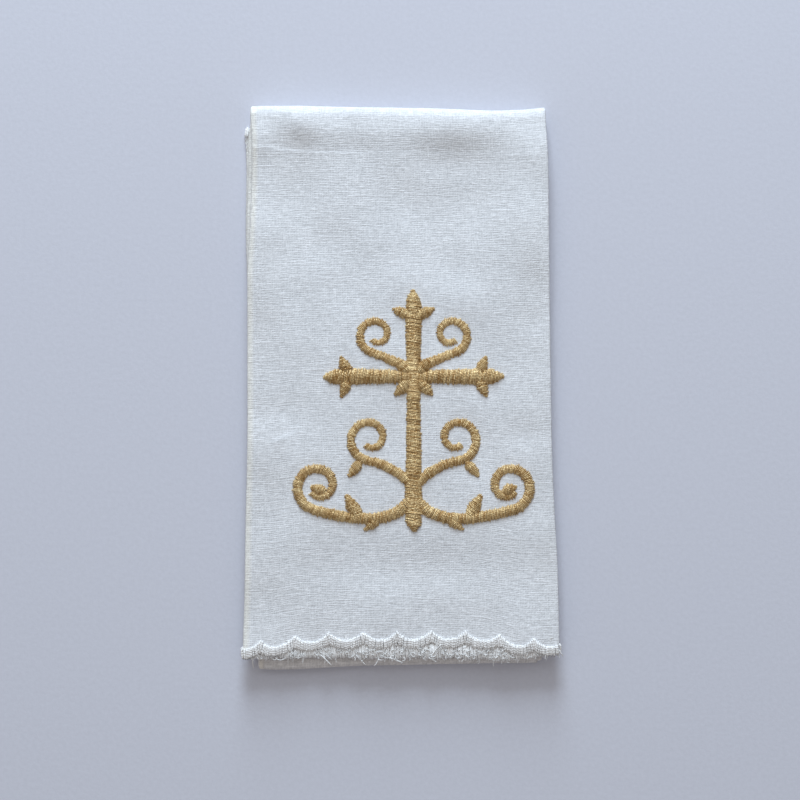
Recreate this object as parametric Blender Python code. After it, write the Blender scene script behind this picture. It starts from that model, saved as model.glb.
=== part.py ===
"""A white linen purificator, folded in thirds both ways, with a scalloped edge and gold embroidery.

The cloth is first folded in thirds lengthways, which makes a strip three plies thick. The strip is modelled
flat, as the maker has it on the table, with its stepped and scalloped ends. It is then folded crossways, back
and forth, into a front, a middle and a back layer. The embroidery is laid on the front layer.

Sizes are in millimetres and are turned into metres when an object is made. In the flat strip, x runs across
and y along it, from the front end. In the folded part, +Y points from the front scalloped end to the top
fold, +Z is up, and the origin is at the middle of the box that holds the part, on the surface it lies on.
"""

import math

import bmesh
import bpy
import numpy as np

MM = 0.001

# The cloth and its folded strip
FLAT_WIDTH = 250.0
FLAT_LENGTH = 444.0
STRIP_HALF = FLAT_WIDTH / 6.0
STRIP_THICK = 1.6
PLY_SINK = 0.05

# The scalloped edge, worked in satin stitch: cusps point into the cloth
SCALLOP_PITCH = FLAT_WIDTH / 27.6
SCALLOP_PHASE = 0.12
SCALLOP_STEPS = 6
SCALLOP_POINTED = 2.2
SCALLOP_CLEAR = 0.3
EDGE_DEPTH = 1.4
BAND_DEPTH = 2.2
BAND_WIDTH = 2.7
BAND_RISE = 0.3
BAND_INSET = 0.12
BAND_SIDE_INSET = 0.2

# The fold lines, measured at the middle of the width
HEM_Y = -66.6
TOP_FOLD_Y = 79.9
LOW_FOLD_Y = -71.6
TOP_FOLD_REACH = 2.5
LOW_FOLD_REACH = 1.05
FOLD_STEPS = 8
PATH_STEPS = 80
PATH_SPARE = 4.0
NORMAL_REACH = 0.12

# The middle of the box that holds the folded part
CENTRE_X = -0.68
CENTRE_Y = 4.04

# The three plies of the strip: heights, sides, how far each passes the front and the back end, and how much
# shorter its ends are at the sides than in the middle
PLY_COLUMNS = ("low", "high", "left", "right", "front_past", "back_past", "side_short", "phase")
PLIES = {
    "face": (1.05, 1.60, -41.70, 41.70, 0.0, -3.5, 0.0, 0.0),
    "tucked": (0.50, 1.10, -41.45, 41.50, 2.8, -1.2, 3.4, 0.38),
    "under": (0.00, 0.55, -41.62, 40.60, 1.3, 1.2, 2.4, 0.71),
}

# The sides of the three layers, as they lie: a row for each place along the folded part
SIDE_COLUMNS = ("y", "front_left", "front_right", "middle_left", "middle_right", "back_left", "back_right")
SIDES = (
    (-72.0, -41.9, 41.8, -37.8, 37.2, -37.8, 37.2),
    (-62.0, -41.8, 41.7, -38.2, 37.8, -38.0, 37.5),
    (-45.0, -41.5, 41.5, -39.0, 38.5, -38.8, 38.1),
    (-30.0, -41.4, 40.8, -39.8, 39.0, -39.6, 38.5),
    (-12.0, -41.1, 40.2, -40.6, 39.3, -40.5, 38.8),
    (12.0, -41.3, 40.0, -41.0, 39.4, -41.2, 39.0),
    (32.0, -41.4, 39.9, -41.5, 39.4, -41.9, 38.9),
    (48.0, -40.8, 39.8, -42.0, 39.3, -42.4, 38.8),
    (60.0, -40.4, 39.7, -42.1, 39.2, -42.8, 38.6),
    (70.0, -40.5, 39.3, -41.9, 39.0, -43.1, 38.4),
    (77.0, -41.0, 38.9, -41.3, 38.9, -43.1, 38.2),
    (81.0, -41.1, 38.9, -41.1, 38.9, -43.1, 38.2),
)

# How far each cross line runs from straight: a row for each place across the strip
LINE_COLUMNS = ("x", "hem", "top_fold", "low_fold", "back_end")
LINES = (
    (-42.0, -1.7, 0.35, 0.0, 1.8),
    (-37.0, -2.3, 0.50, -0.3, 1.5),
    (-28.0, -1.1, 0.45, -0.7, 0.6),
    (-19.0, -0.3, 0.30, -0.4, 0.3),
    (-9.0, 0.0, 0.10, -0.1, 0.0),
    (0.0, 0.0, 0.00, 0.0, 0.0),
    (9.0, 0.2, -0.20, 0.2, -0.2),
    (18.0, 0.1, -0.55, 0.4, -0.4),
    (27.0, -0.9, -0.80, 0.7, -0.6),
    (33.0, -1.7, -0.60, 1.1, -0.8),
    (38.0, -1.7, -0.30, 1.5, -1.0),
    (42.0, -1.5, 0.15, 1.8, -1.2),
)

# Undersides of the front and the middle layer, which sag past the back layer's end
REST_COLUMNS = ("y", "front", "middle")
RESTS = (
    (-72.0, 3.80, 1.95),
    (-64.0, 3.90, 1.95),
    (60.0, 3.90, 1.95),
    (67.0, 3.88, 1.95),
    (70.5, 3.70, 1.88),
    (73.5, 3.55, 1.30),
    (77.0, 3.85, 0.55),
)

# Soft troughs and ridges of the front layer: middle, half length along x and y, turn, and rise
SWELL_COLUMNS = ("x", "y", "along", "across", "turn", "rise")
SWELLS = (
    (-27.0, 68.0, 13.0, 5.0, -6.0, -0.22),
    (14.0, 69.0, 16.0, 5.0, 3.0, -0.20),
    (34.0, 40.0, 26.0, 7.0, 88.0, 0.16),
    (-12.0, 46.0, 22.0, 8.0, 12.0, 0.12),
    (-30.0, -8.0, 11.0, 5.0, 40.0, 0.14),
    (6.0, -50.0, 20.0, 7.0, -8.0, 0.16),
    (30.0, -44.0, 16.0, 6.0, 70.0, -0.14),
    (-32.0, -52.0, 14.0, 6.0, 100.0, 0.12),
)

# Places along a layer where it is cut into rows, closer where it bends, and across where it has columns. The
# rows stay clear of the scalloped ends, and the back layer has none where it ends.
ROW_PLACES = (
    -62.0, -52.0, -42.0, -30.0, -18.0, -6.0, 6.0, 18.0, 30.0, 42.0, 52.0, 60.0, 66.0, 69.0, 71.5, 74.0,
)
END_CLEAR = 3.0
BACK_LAST_ROW = 62.0
COLUMN_PLACES = (
    -41.2, -38.6, -34.0, -28.0, -21.0, -14.0, -7.0, 0.0, 7.0, 14.0, 21.0, 28.0, 34.0, 38.6, 41.0,
)
EDGE_ROUND = 1.0
EDGE_THIN = 0.30
SWELL_FADE = 6.0

# The embroidery lies on the front layer; its strokes are drawn about its own middle
STITCH_X = 3.3
STITCH_Y = -3.4
STITCH_HEIGHT = 0.9
STITCH_GAP = 0.3
STROKE_ACROSS = 4
STITCH_GRID = 9.5
STITCH_REACH = 38.0
STROKE_SINK = 0.004
SCROLL_STATIONS = 27
LEAF_STATIONS = 6
LEAF_ROOT = 0.08
LEAF_BODY = 0.87
LEAF_LEAN = 0.8
STROKE_SHOULDER = 0.45
BAR_STATIONS = 3

# Faces that turn less than this against each other are merged, in radians
LEVEL_ANGLE = 0.005

# Straight satin columns: ends, and width at each end
BAR_COLUMNS = ("x0", "y0", "x1", "y1", "width0", "width1")
BARS = {
    "shaft_up": (0.0, 4.0, 0.0, 26.0, 3.6, 4.8),
    "shaft_down": (0.0, 14.0, 0.0, -28.0, 3.6, 5.0),
    "arm_right": (-3.0, 9.0, 18.0, 9.0, 3.5, 4.7),
    "arm_left": (3.0, 9.0, -18.0, 9.0, 3.5, 4.7),
}

# Scrolls, each on both sides: a stem from its root, and a volute about its own centre, which turns inwards
SCROLL_COLUMNS = ("root_x", "root_y", "lean_x", "lean_y", "eye_x", "eye_y", "outer", "inner", "start", "turn",
                  "lead", "width0", "width1")
SCROLLS = {
    "base": (0.8, -24.0, 6.0, -32.0, 25.4, -20.4, 6.4, 2.3, -75.0, 395.0, 8.0, 3.2, 1.9),
    "lower": (0.6, -20.0, 3.2, -17.2, 11.6, -7.6, 6.0, 2.1, -82.0, 390.0, 5.0, 2.8, 1.7),
    "upper": (1.6, 11.0, 4.4, 12.8, 10.0, 20.4, 5.0, 1.9, -72.0, 380.0, 4.0, 2.6, 1.6),
}

# Leaves and buds: root, direction, length and width; those marked are on both sides
LEAF_COLUMNS = ("x", "y", "turn", "length", "width", "both")
LEAVES = {
    "top_bud": (0.0, 25.2, 90.0, 7.4, 4.4, False),
    "top_barb": (0.6, 25.4, 22.0, 5.6, 3.0, True),
    "arm_bud": (17.2, 9.0, 0.0, 7.2, 4.4, True),
    "arm_barb_up": (17.4, 9.6, 66.0, 5.4, 3.0, True),
    "arm_barb_down": (17.4, 8.4, -66.0, 5.4, 3.0, True),
    "foot_bud": (0.0, -27.0, -90.0, 5.6, 4.6, False),
    "heart_up": (0.6, 9.6, 45.0, 6.4, 3.4, True),
    "heart_down": (0.6, 8.4, -45.0, 6.4, 3.4, True),
    "base_leaf": (14.5, -29.2, 62.0, 7.6, 3.6, True),
    "base_barb": (9.0, -28.8, -38.0, 5.4, 2.8, True),
    "lower_leaf": (14.0, -13.6, -52.0, 5.6, 2.8, True),
    "eye_drop": (23.6, -22.0, 20.0, 4.2, 3.2, True),
}


def clear_scene():
    """Takes away whatever the file holds."""
    for item in list(bpy.data.objects):
        bpy.data.objects.remove(item, do_unlink=True)


def new_collection(name):
    collection = bpy.data.collections.new(name)
    bpy.context.scene.collection.children.link(collection)
    return collection


def new_material(name, colour, roughness, metallic=0.0):
    """A Principled material in one colour."""
    material = bpy.data.materials.new(name)
    material.use_nodes = True
    shader = material.node_tree.nodes["Principled BSDF"]
    shader.inputs["Base Color"].default_value = (*colour, 1.0)
    shader.inputs["Roughness"].default_value = roughness
    shader.inputs["Metallic"].default_value = metallic
    return material


def column(table, columns, name):
    """One named column of a table, as an array."""
    return np.array([row[columns.index(name)] for row in table])


def read_row(row, columns):
    """A row of a table as a dictionary by column name."""
    return dict(zip(columns, row))


def smooth(value):
    """Runs from 0 to 1 with level ends."""
    clipped = np.clip(value, 0.0, 1.0)
    return clipped * clipped * (3.0 - 2.0 * clipped)


def scallop(across, phase):
    """0 at a cusp and 1 at the lowest point of the arc between two cusps."""
    part = np.mod(np.asarray(across) / SCALLOP_PITCH + phase, 1.0)
    return 1.0 - np.abs(2.0 * part - 1.0) ** SCALLOP_POINTED


def scallop_places(left, right, phase):
    """Places across the strip where a scalloped line has its points: its ends, its cusps and between."""
    first = math.floor(left / SCALLOP_PITCH + phase) * SCALLOP_STEPS
    last = math.ceil(right / SCALLOP_PITCH + phase) * SCALLOP_STEPS
    steps = (np.arange(first, last + 1) / SCALLOP_STEPS - phase) * SCALLOP_PITCH
    inside = steps[(steps > left + SCALLOP_CLEAR) & (steps < right - SCALLOP_CLEAR)]
    return np.concatenate(([left], inside, [right]))


def swell(x, y):
    """Sum of the soft troughs and ridges: each is a rise that fades with distance, longer one way."""
    total = np.zeros_like(x)
    for row in SWELLS:
        place = read_row(row, SWELL_COLUMNS)
        turn = math.radians(place["turn"])
        dx = x - place["x"]
        dy = y - place["y"]
        along = (dx * math.cos(turn) + dy * math.sin(turn)) / place["along"]
        across = (dy * math.cos(turn) - dx * math.sin(turn)) / place["across"]
        total += place["rise"] * np.exp(-(along ** 2) - across ** 2)
    return total


def layer_rest(name, y):
    """Height of the underside of the front or the middle layer."""
    return np.interp(y, column(RESTS, REST_COLUMNS, "y"), column(RESTS, REST_COLUMNS, name))


def middle_path():
    """The strip's middle line seen from the side, from the front end to the back end.

    It is a run of points on the front layer, half an ellipse round the top fold, the middle layer, half an
    ellipse round the low fold, and the back layer. Returns the points, the length along the line at each,
    and the lengths at which each fold starts and ends.
    """
    half = STRIP_THICK / 2.0
    top_y = TOP_FOLD_Y - TOP_FOLD_REACH - half
    low_y = LOW_FOLD_Y + LOW_FOLD_REACH + half
    front_y = np.linspace(HEM_Y - PATH_SPARE, top_y, PATH_STEPS)
    back_y = np.linspace(low_y, TOP_FOLD_Y, PATH_STEPS)
    front = np.column_stack((front_y, layer_rest("front", front_y) + half))
    middle_y = np.linspace(top_y, low_y, PATH_STEPS)
    middle = np.column_stack((middle_y, layer_rest("middle", middle_y) + half))
    back = np.column_stack((back_y, np.full(PATH_STEPS, half)))
    turn = np.linspace(0.0, math.pi, 4 * FOLD_STEPS + 1)[1:-1]

    def bend(start, end, reach):
        level = (start[1] + end[1]) / 2.0
        rise = (start[1] - end[1]) / 2.0
        return np.column_stack((start[0] + reach * np.sin(turn), level + rise * np.cos(turn)))

    top = bend(front[-1], middle[0], TOP_FOLD_REACH)
    low = bend(middle[-1], back[0], -LOW_FOLD_REACH)
    points = np.vstack((front, top, middle, low, back))
    steps = np.hypot(*np.diff(points, axis=0).T)
    length = np.concatenate(([0.0], np.cumsum(steps)))
    length -= np.interp(HEM_Y, front_y, length[:PATH_STEPS])
    ends = np.cumsum([len(front), len(top), len(middle), len(low)])
    marks = {
        "top_start": length[ends[0] - 1],
        "top_end": length[ends[1]],
        "low_start": length[ends[2] - 1],
        "low_end": length[ends[3]],
    }
    return points, length, marks


PATH_POINTS, PATH_LENGTH, MARKS = middle_path()


def along_path(length):
    """Point and upward normal of the strip's middle line at a length from the front end."""
    y = np.interp(length, PATH_LENGTH, PATH_POINTS[:, 0])
    z = np.interp(length, PATH_LENGTH, PATH_POINTS[:, 1])
    after = length + NORMAL_REACH
    before = length - NORMAL_REACH
    dy = np.interp(after, PATH_LENGTH, PATH_POINTS[:, 0]) - np.interp(before, PATH_LENGTH, PATH_POINTS[:, 0])
    dz = np.interp(after, PATH_LENGTH, PATH_POINTS[:, 1]) - np.interp(before, PATH_LENGTH, PATH_POINTS[:, 1])
    size = np.hypot(dy, dz)
    return y, z, -dz / size, dy / size


def fold_places(flat):
    """Folds flat points: x across the strip, y along it from the front end, z through its thickness.

    The strip's middle line gives each point its height and its place along the part, and its thickness is
    laid off along the line's normal. The sides of each layer and the run of each fold line then move it.
    """
    across, length, through = flat[:, 0], flat[:, 1], flat[:, 2]
    half = STRIP_THICK / 2.0
    thinning = 1.0 - EDGE_THIN * smooth((np.abs(across) - (STRIP_HALF - EDGE_ROUND)) / EDGE_ROUND)
    off = (through - half) * thinning
    y, z, normal_y, normal_z = along_path(length)
    y = y + off * normal_y
    z = z + off * normal_z

    to_middle = smooth((length - MARKS["top_start"]) / (MARKS["top_end"] - MARKS["top_start"]))
    to_back = smooth((length - MARKS["low_start"]) / (MARKS["low_end"] - MARKS["low_start"]))
    share = (across + STRIP_HALF) / (2.0 * STRIP_HALF)
    side_y = column(SIDES, SIDE_COLUMNS, "y")
    place = {name: np.interp(y, side_y, column(SIDES, SIDE_COLUMNS, name)) for name in SIDE_COLUMNS[1:]}
    x = np.zeros_like(y)
    weights = {"front": 1.0 - to_middle, "middle": to_middle * (1.0 - to_back), "back": to_back}
    for layer, weight in weights.items():
        x += weight * (place[layer + "_left"] * (1.0 - share) + place[layer + "_right"] * share)

    line_x = column(LINES, LINE_COLUMNS, "x")
    run = {name: np.interp(across, line_x, column(LINES, LINE_COLUMNS, name)) for name in LINE_COLUMNS[1:]}
    top_mid = (MARKS["top_start"] + MARKS["top_end"]) / 2.0
    low_mid = (MARKS["low_start"] + MARKS["low_end"]) / 2.0
    to_top = np.clip(length / MARKS["top_start"], 0.0, 1.0)
    to_low = np.clip((length - MARKS["top_end"]) / (MARKS["low_start"] - MARKS["top_end"]), 0.0, 1.0)
    to_end = np.clip((length - MARKS["low_end"]) / (FLAT_LENGTH - MARKS["low_end"]), 0.0, 1.0)
    front_run = run["hem"] * (1.0 - to_top) + run["top_fold"] * to_top
    middle_run = run["top_fold"] * (1.0 - to_low) + run["low_fold"] * to_low
    back_run = run["low_fold"] * (1.0 - to_end) + run["back_end"] * to_end
    shift = np.where(length < top_mid, front_run, np.where(length < low_mid, middle_run, back_run))
    y = y + shift

    front_weight = 1.0 - smooth((length - MARKS["top_start"]) / SWELL_FADE + 1.0)
    z = z + front_weight * swell(x, y)
    return np.column_stack((x, y, z))


def end_line(ply, end, places, depth, inset):
    """Points of a scalloped line at the front or the back end of a ply, inset towards the cloth."""
    phase = SCALLOP_PHASE + ply["phase"]
    short = ply["side_short"] * (places / STRIP_HALF) ** 2
    inwards = inset + short + depth * (1.0 - scallop(places, phase))
    if end == "front":
        return np.column_stack((places, inwards - ply["front_past"]))
    return np.column_stack((places, FLAT_LENGTH + ply["back_past"] - inwards))


def slab(name, outline, low, high):
    """A flat outline given a thickness: one face, extruded upwards."""
    mesh = bpy.data.meshes.new(name)
    build = bmesh.new()
    corners = [build.verts.new((x, y, low)) for x, y in outline]
    face = build.faces.new(corners)
    raised = bmesh.ops.extrude_face_region(build, geom=[face])
    for vertex in (item for item in raised["geom"] if isinstance(item, bmesh.types.BMVert)):
        vertex.co.z = high
    bmesh.ops.recalc_face_normals(build, faces=build.faces[:])
    build.to_mesh(mesh)
    build.free()
    return bpy.data.objects.new(name, mesh)


def ply_slabs(name, ply):
    """The flat pieces of one ply: its sheet, and its raised satin bands where the ply's face shows."""
    places = scallop_places(ply["left"], ply["right"], SCALLOP_PHASE + ply["phase"])
    front = end_line(ply, "front", places, EDGE_DEPTH, 0.0)
    back = end_line(ply, "back", places, EDGE_DEPTH, 0.0)
    pieces = [slab(name, np.vstack((front, back[::-1])), ply["low"], ply["high"])]
    if name == "face":
        left, right = ply["left"] + BAND_SIDE_INSET, ply["right"] - BAND_SIDE_INSET
        inner = scallop_places(left, right, SCALLOP_PHASE + ply["phase"])
        low_line = end_line(ply, "front", inner, EDGE_DEPTH, BAND_INSET)
        high_line = end_line(ply, "front", inner, BAND_DEPTH, BAND_WIDTH)
        band = slab("front_band", np.vstack((low_line, high_line[::-1])),
                    ply["high"] - 2.0 * PLY_SINK, ply["high"] + BAND_RISE)
        pieces.append(band)
    return pieces


def cut_grid(build, places, axis):
    """Cuts every face that crosses the given places, so that it can bend there."""
    normal = (1.0, 0.0, 0.0) if axis == 0 else (0.0, 1.0, 0.0)
    for place in places:
        point = (place, 0.0, 0.0) if axis == 0 else (0.0, place, 0.0)
        geometry = build.verts[:] + build.edges[:] + build.faces[:]
        bmesh.ops.bisect_plane(build, geom=geometry, dist=1e-4, plane_co=point, plane_no=normal)


def row_lengths():
    """Lengths along the strip at which it is cut into rows: three layers and two folds."""
    top_y = TOP_FOLD_Y - TOP_FOLD_REACH - STRIP_THICK / 2.0
    low_y = LOW_FOLD_Y + LOW_FOLD_REACH + STRIP_THICK / 2.0
    front = np.interp(ROW_PLACES, PATH_POINTS[:PATH_STEPS, 0], PATH_LENGTH[:PATH_STEPS])
    top = np.linspace(MARKS["top_start"], MARKS["top_end"], FOLD_STEPS + 1)
    middle = MARKS["top_end"] + top_y - np.array(ROW_PLACES)
    low = np.linspace(MARKS["low_start"], MARKS["low_end"], FOLD_STEPS + 1)
    back = MARKS["low_end"] + np.array([y for y in ROW_PLACES if y < BACK_LAST_ROW]) - low_y
    rows = np.sort(np.concatenate((front, top, middle, low, back)))
    return rows[(rows > END_CLEAR) & (rows < FLAT_LENGTH - END_CLEAR)].tolist()


def union_of(name, pieces, parts, others_name):
    """One mesh object from overlapping pieces: the first, joined with all the others at once.

    The others stay as wires in a collection of their own. Level faces that touch in the result are merged.
    """
    others = new_collection(others_name)
    base = pieces[0]
    base.name = name
    parts.objects.link(base)
    for piece in pieces[1:]:
        piece.display_type = "WIRE"
        piece.hide_render = True
        others.objects.link(piece)
    joined = base.modifiers.new("join", "BOOLEAN")
    joined.operation = "UNION"
    joined.solver = "EXACT"
    joined.operand_type = "COLLECTION"
    joined.collection = others
    bpy.context.view_layer.update()
    depsgraph = bpy.context.evaluated_depsgraph_get()
    mesh = bpy.data.meshes.new_from_object(base.evaluated_get(depsgraph))
    base.modifiers.clear()
    base.data = mesh
    mesh.name = name
    build = bmesh.new()
    build.from_mesh(mesh)
    bmesh.ops.dissolve_limit(build, angle_limit=LEVEL_ANGLE, verts=build.verts[:], edges=build.edges[:])
    build.to_mesh(mesh)
    build.free()
    return base


def make_cloth(parts):
    """The folded cloth: its plies joined flat, cut into rows and columns, and folded."""
    pieces = []
    for name, row in PLIES.items():
        pieces.extend(ply_slabs(name, read_row(row, PLY_COLUMNS)))
    cloth = union_of("folded_cloth", pieces, parts, "purificator_plies")
    build = bmesh.new()
    build.from_mesh(cloth.data)
    cut_grid(build, row_lengths(), 1)
    cut_grid(build, COLUMN_PLACES, 0)
    bmesh.ops.triangulate(build, faces=[face for face in build.faces if len(face.verts) > 4])
    places = np.array([vertex.co[:] for vertex in build.verts])
    folded = fold_places(places)
    for vertex, place in zip(build.verts, folded):
        vertex.co = ((place[0] - CENTRE_X) * MM, (place[1] - CENTRE_Y) * MM, place[2] * MM)
    bmesh.ops.recalc_face_normals(build, faces=build.faces[:])
    build.to_mesh(cloth.data)
    build.free()
    return cloth


def bar_line(bar, stations):
    """Middle line and width of a straight satin column."""
    step = np.linspace(0.0, 1.0, stations)
    along_x = bar["x0"] + (bar["x1"] - bar["x0"]) * step
    along_y = bar["y0"] + (bar["y1"] - bar["y0"]) * step
    line = np.column_stack((along_x, along_y))
    return line, bar["width0"] + (bar["width1"] - bar["width0"]) * step ** 2.0


def scroll_line(scroll, stations):
    """Middle line and width of a scroll: a cubic stem that runs into a spiral about the scroll's eye."""
    start = math.radians(scroll["start"])
    joint = np.array((scroll["eye_x"] + scroll["outer"] * math.cos(start),
                      scroll["eye_y"] + scroll["outer"] * math.sin(start)))
    heading = np.array((-math.sin(start), math.cos(start)))
    root = np.array((scroll["root_x"], scroll["root_y"]))
    lean = np.array((scroll["lean_x"], scroll["lean_y"]))
    reach = joint - scroll["lead"] * heading
    stem_count = stations // 3
    t = np.linspace(0.0, 1.0, stem_count, endpoint=False)[:, None]
    stem = (1 - t) ** 3 * root + 3 * (1 - t) ** 2 * t * lean + 3 * (1 - t) * t ** 2 * reach + t ** 3 * joint
    turn = np.linspace(0.0, 1.0, stations - stem_count)
    radius = scroll["outer"] + (scroll["inner"] - scroll["outer"]) * turn
    angle = start + math.radians(scroll["turn"]) * turn
    around_x = scroll["eye_x"] + radius * np.cos(angle)
    around_y = scroll["eye_y"] + radius * np.sin(angle)
    spiral = np.column_stack((around_x, around_y))
    line = np.vstack((stem, spiral))
    run = np.linspace(0.0, 1.0, len(line))
    return line, scroll["width0"] + (scroll["width1"] - scroll["width0"]) * run


def leaf_line(leaf, stations):
    """Middle line and width of a leaf: widest at two fifths of its length, and pointed at its tip."""
    turn = math.radians(leaf["turn"])
    run = np.linspace(0.0, 1.0, stations)
    line = np.column_stack((leaf["x"] + leaf["length"] * run * math.cos(turn),
                            leaf["y"] + leaf["length"] * run * math.sin(turn)))
    width = leaf["width"] * np.sin(math.pi * (LEAF_ROOT + LEAF_BODY * run ** LEAF_LEAN))
    return line, width


def stroke(name, line, width, mirrored, depth):
    """A domed satin column along a line: a grid laid across it, extruded down to a level underside."""
    heading = np.gradient(line, axis=0)
    heading /= np.linalg.norm(heading, axis=1)[:, None]
    side = np.column_stack((-heading[:, 1], heading[:, 0]))
    build = bmesh.new()
    bmesh.ops.create_grid(build, x_segments=len(line) - 1, y_segments=STROKE_ACROSS, size=1.0)
    build.verts.ensure_lookup_table()
    for vertex in build.verts:
        station = round((vertex.co.x + 1.0) / 2.0 * (len(line) - 1))
        over = vertex.co.y
        place = line[station] + side[station] * over * width[station] / 2.0
        dome = math.sqrt(max(0.0, 1.0 - over * over))
        rise = STITCH_HEIGHT * (STROKE_SHOULDER + (1.0 - STROKE_SHOULDER) * dome) - depth
        vertex.co = (-place[0] if mirrored else place[0], place[1], rise)
    lowered = bmesh.ops.extrude_face_region(build, geom=build.faces[:])
    for item in lowered["geom"]:
        if isinstance(item, bmesh.types.BMVert):
            item.co.z = -depth
    bmesh.ops.recalc_face_normals(build, faces=build.faces[:])
    mesh = bpy.data.meshes.new(name)
    build.to_mesh(mesh)
    build.free()
    return bpy.data.objects.new(name, mesh)


def all_strokes():
    """Every stroke of the embroidery, those of both sides mirrored, each a hair deeper than the last."""
    lines = [(name, *bar_line(read_row(row, BAR_COLUMNS), BAR_STATIONS), False) for name, row in BARS.items()]
    for name, row in SCROLLS.items():
        line, width = scroll_line(read_row(row, SCROLL_COLUMNS), SCROLL_STATIONS)
        lines.append((name + "_right", line, width, False))
        lines.append((name + "_left", line, width, True))
    for name, row in LEAVES.items():
        leaf = read_row(row, LEAF_COLUMNS)
        line, width = leaf_line(leaf, LEAF_STATIONS)
        lines.append((name + "_right", line, width, False))
        if leaf["both"]:
            lines.append((name + "_left", line, width, True))
    return [stroke(*line, STROKE_SINK * count) for count, line in enumerate(lines)]


def make_embroidery(parts):
    """The gold embroidery: its strokes joined on a level table, then laid on the front layer."""
    gold = union_of("gold_embroidery", all_strokes(), parts, "purificator_strokes")
    build = bmesh.new()
    build.from_mesh(gold.data)
    lines = np.arange(-STITCH_REACH, STITCH_REACH + STITCH_GRID, STITCH_GRID)
    cut_grid(build, lines, 0)
    cut_grid(build, lines, 1)
    bmesh.ops.triangulate(build, faces=[face for face in build.faces if len(face.verts) > 4])
    places = np.array([vertex.co[:] for vertex in build.verts])
    x = places[:, 0] + STITCH_X
    y = places[:, 1] + STITCH_Y
    lift = layer_rest("front", y) + STRIP_THICK + swell(x, y) + STITCH_GAP
    for vertex, place_x, place_y, height in zip(build.verts, x, y, places[:, 2] + lift):
        vertex.co = ((place_x - CENTRE_X) * MM, (place_y - CENTRE_Y) * MM, height * MM)
    build.to_mesh(gold.data)
    build.free()
    return gold


def main():
    clear_scene()
    parts = new_collection("purificator")
    cloth = make_cloth(parts)
    cloth.data.materials.clear()
    cloth.data.materials.append(new_material("white_linen", (0.80, 0.83, 0.86), 0.85))
    gold = make_embroidery(parts)
    gold.data.materials.clear()
    gold.data.materials.append(new_material("gold_thread", (0.48, 0.33, 0.14), 0.42, 0.25))


main()
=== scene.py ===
"""Dresses the folded purificator: linen, satin edge, frayed ends, gold stitching, floor, light and camera.

The cloth is one thin sheet, folded in thirds lengthways and then in thirds crossways, back and forth. A place
on it is given by its flat coordinates: u across the cloth from its middle, and v along it from its front end.
Sizes inside the functions are in millimetres, and a mesh is put into metres when it is made.
"""

import math

import bpy
import numpy as np
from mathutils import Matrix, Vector


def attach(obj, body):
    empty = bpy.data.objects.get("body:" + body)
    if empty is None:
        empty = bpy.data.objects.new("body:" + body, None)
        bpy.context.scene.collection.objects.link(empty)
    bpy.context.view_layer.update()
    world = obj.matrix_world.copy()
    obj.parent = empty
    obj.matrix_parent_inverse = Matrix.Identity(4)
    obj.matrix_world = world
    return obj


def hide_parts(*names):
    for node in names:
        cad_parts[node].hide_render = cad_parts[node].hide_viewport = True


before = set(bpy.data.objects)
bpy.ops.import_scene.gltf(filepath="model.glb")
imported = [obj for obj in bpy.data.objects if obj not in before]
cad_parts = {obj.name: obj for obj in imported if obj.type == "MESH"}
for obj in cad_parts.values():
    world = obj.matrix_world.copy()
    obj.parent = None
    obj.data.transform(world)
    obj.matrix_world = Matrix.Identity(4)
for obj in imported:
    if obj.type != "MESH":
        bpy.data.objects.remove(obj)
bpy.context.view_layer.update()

bl_info = {
    "name": "Folded purificator",
    "version": (1, 0, 0),
    "blender": (4, 5, 0),
    "location": "View3D > Sidebar > Purificator",
    "description": "Linen, satin edge and gold stitching of a folded purificator",
    "category": "Object",
}

MM = 0.001
BODY = "root"
TINY = 1e-12
FAR = 50.0
UP = (0.0, 0.0, 1.0)
ROUND_SIDES = 5
RIBBON_SIDES = 12

# Where the middle of the part's box lies in the drawing
CENTRE_X = -0.68
CENTRE_Y = 4.04

# Cross lines of the folded cloth at the middle of its width, and how far each fold bulges past them
HEM_Y = -66.6
TOP_FOLD_Y = 79.9
LOW_FOLD_Y = -71.6
TOP_FOLD_REACH = 2.5
LOW_FOLD_REACH = 1.05
LOW_FOLD_LEAN = 2.2
LOW_FOLD_TUCK = 3
STRIP_THICK = 1.6

# Heights of the three plies in the strip, and the strip's sides and cut edges
UNDER_LEVEL = 0.22
TUCKED_LEVEL = 0.80
FACE_LEVEL = 1.38
STRIP_EDGE = 41.5
LEFT_REACH = 0.55
RIGHT_REACH = 0.32
UNDER_CUT = 40.3
TUCKED_CUT = -40.7

# The scalloped edge: lines measured from the lowest point of a scallop
SCALLOPS_ACROSS = 27.6
SCALLOP_PHASE = 0.12
SCALLOP_POINTED = 2.2
EDGE_DEPTH = 1.7
BAND_DEPTH = 2.2
BAND_WIDTH = 2.15

# The tucked ply's edge is pulled straighter and its satin is wider, from a short way past the right fold
TUCKED_STRAIGHTER = 0.55
TUCKED_WIDER = 1.9
TUCKED_CHANGE = 4.0

# How far the edges of the two lower plies rise in the open, past the face's edge, and over what distance
HEM_LIFT = 0.24
HEM_LIFT_RUN = 0.9

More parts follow.
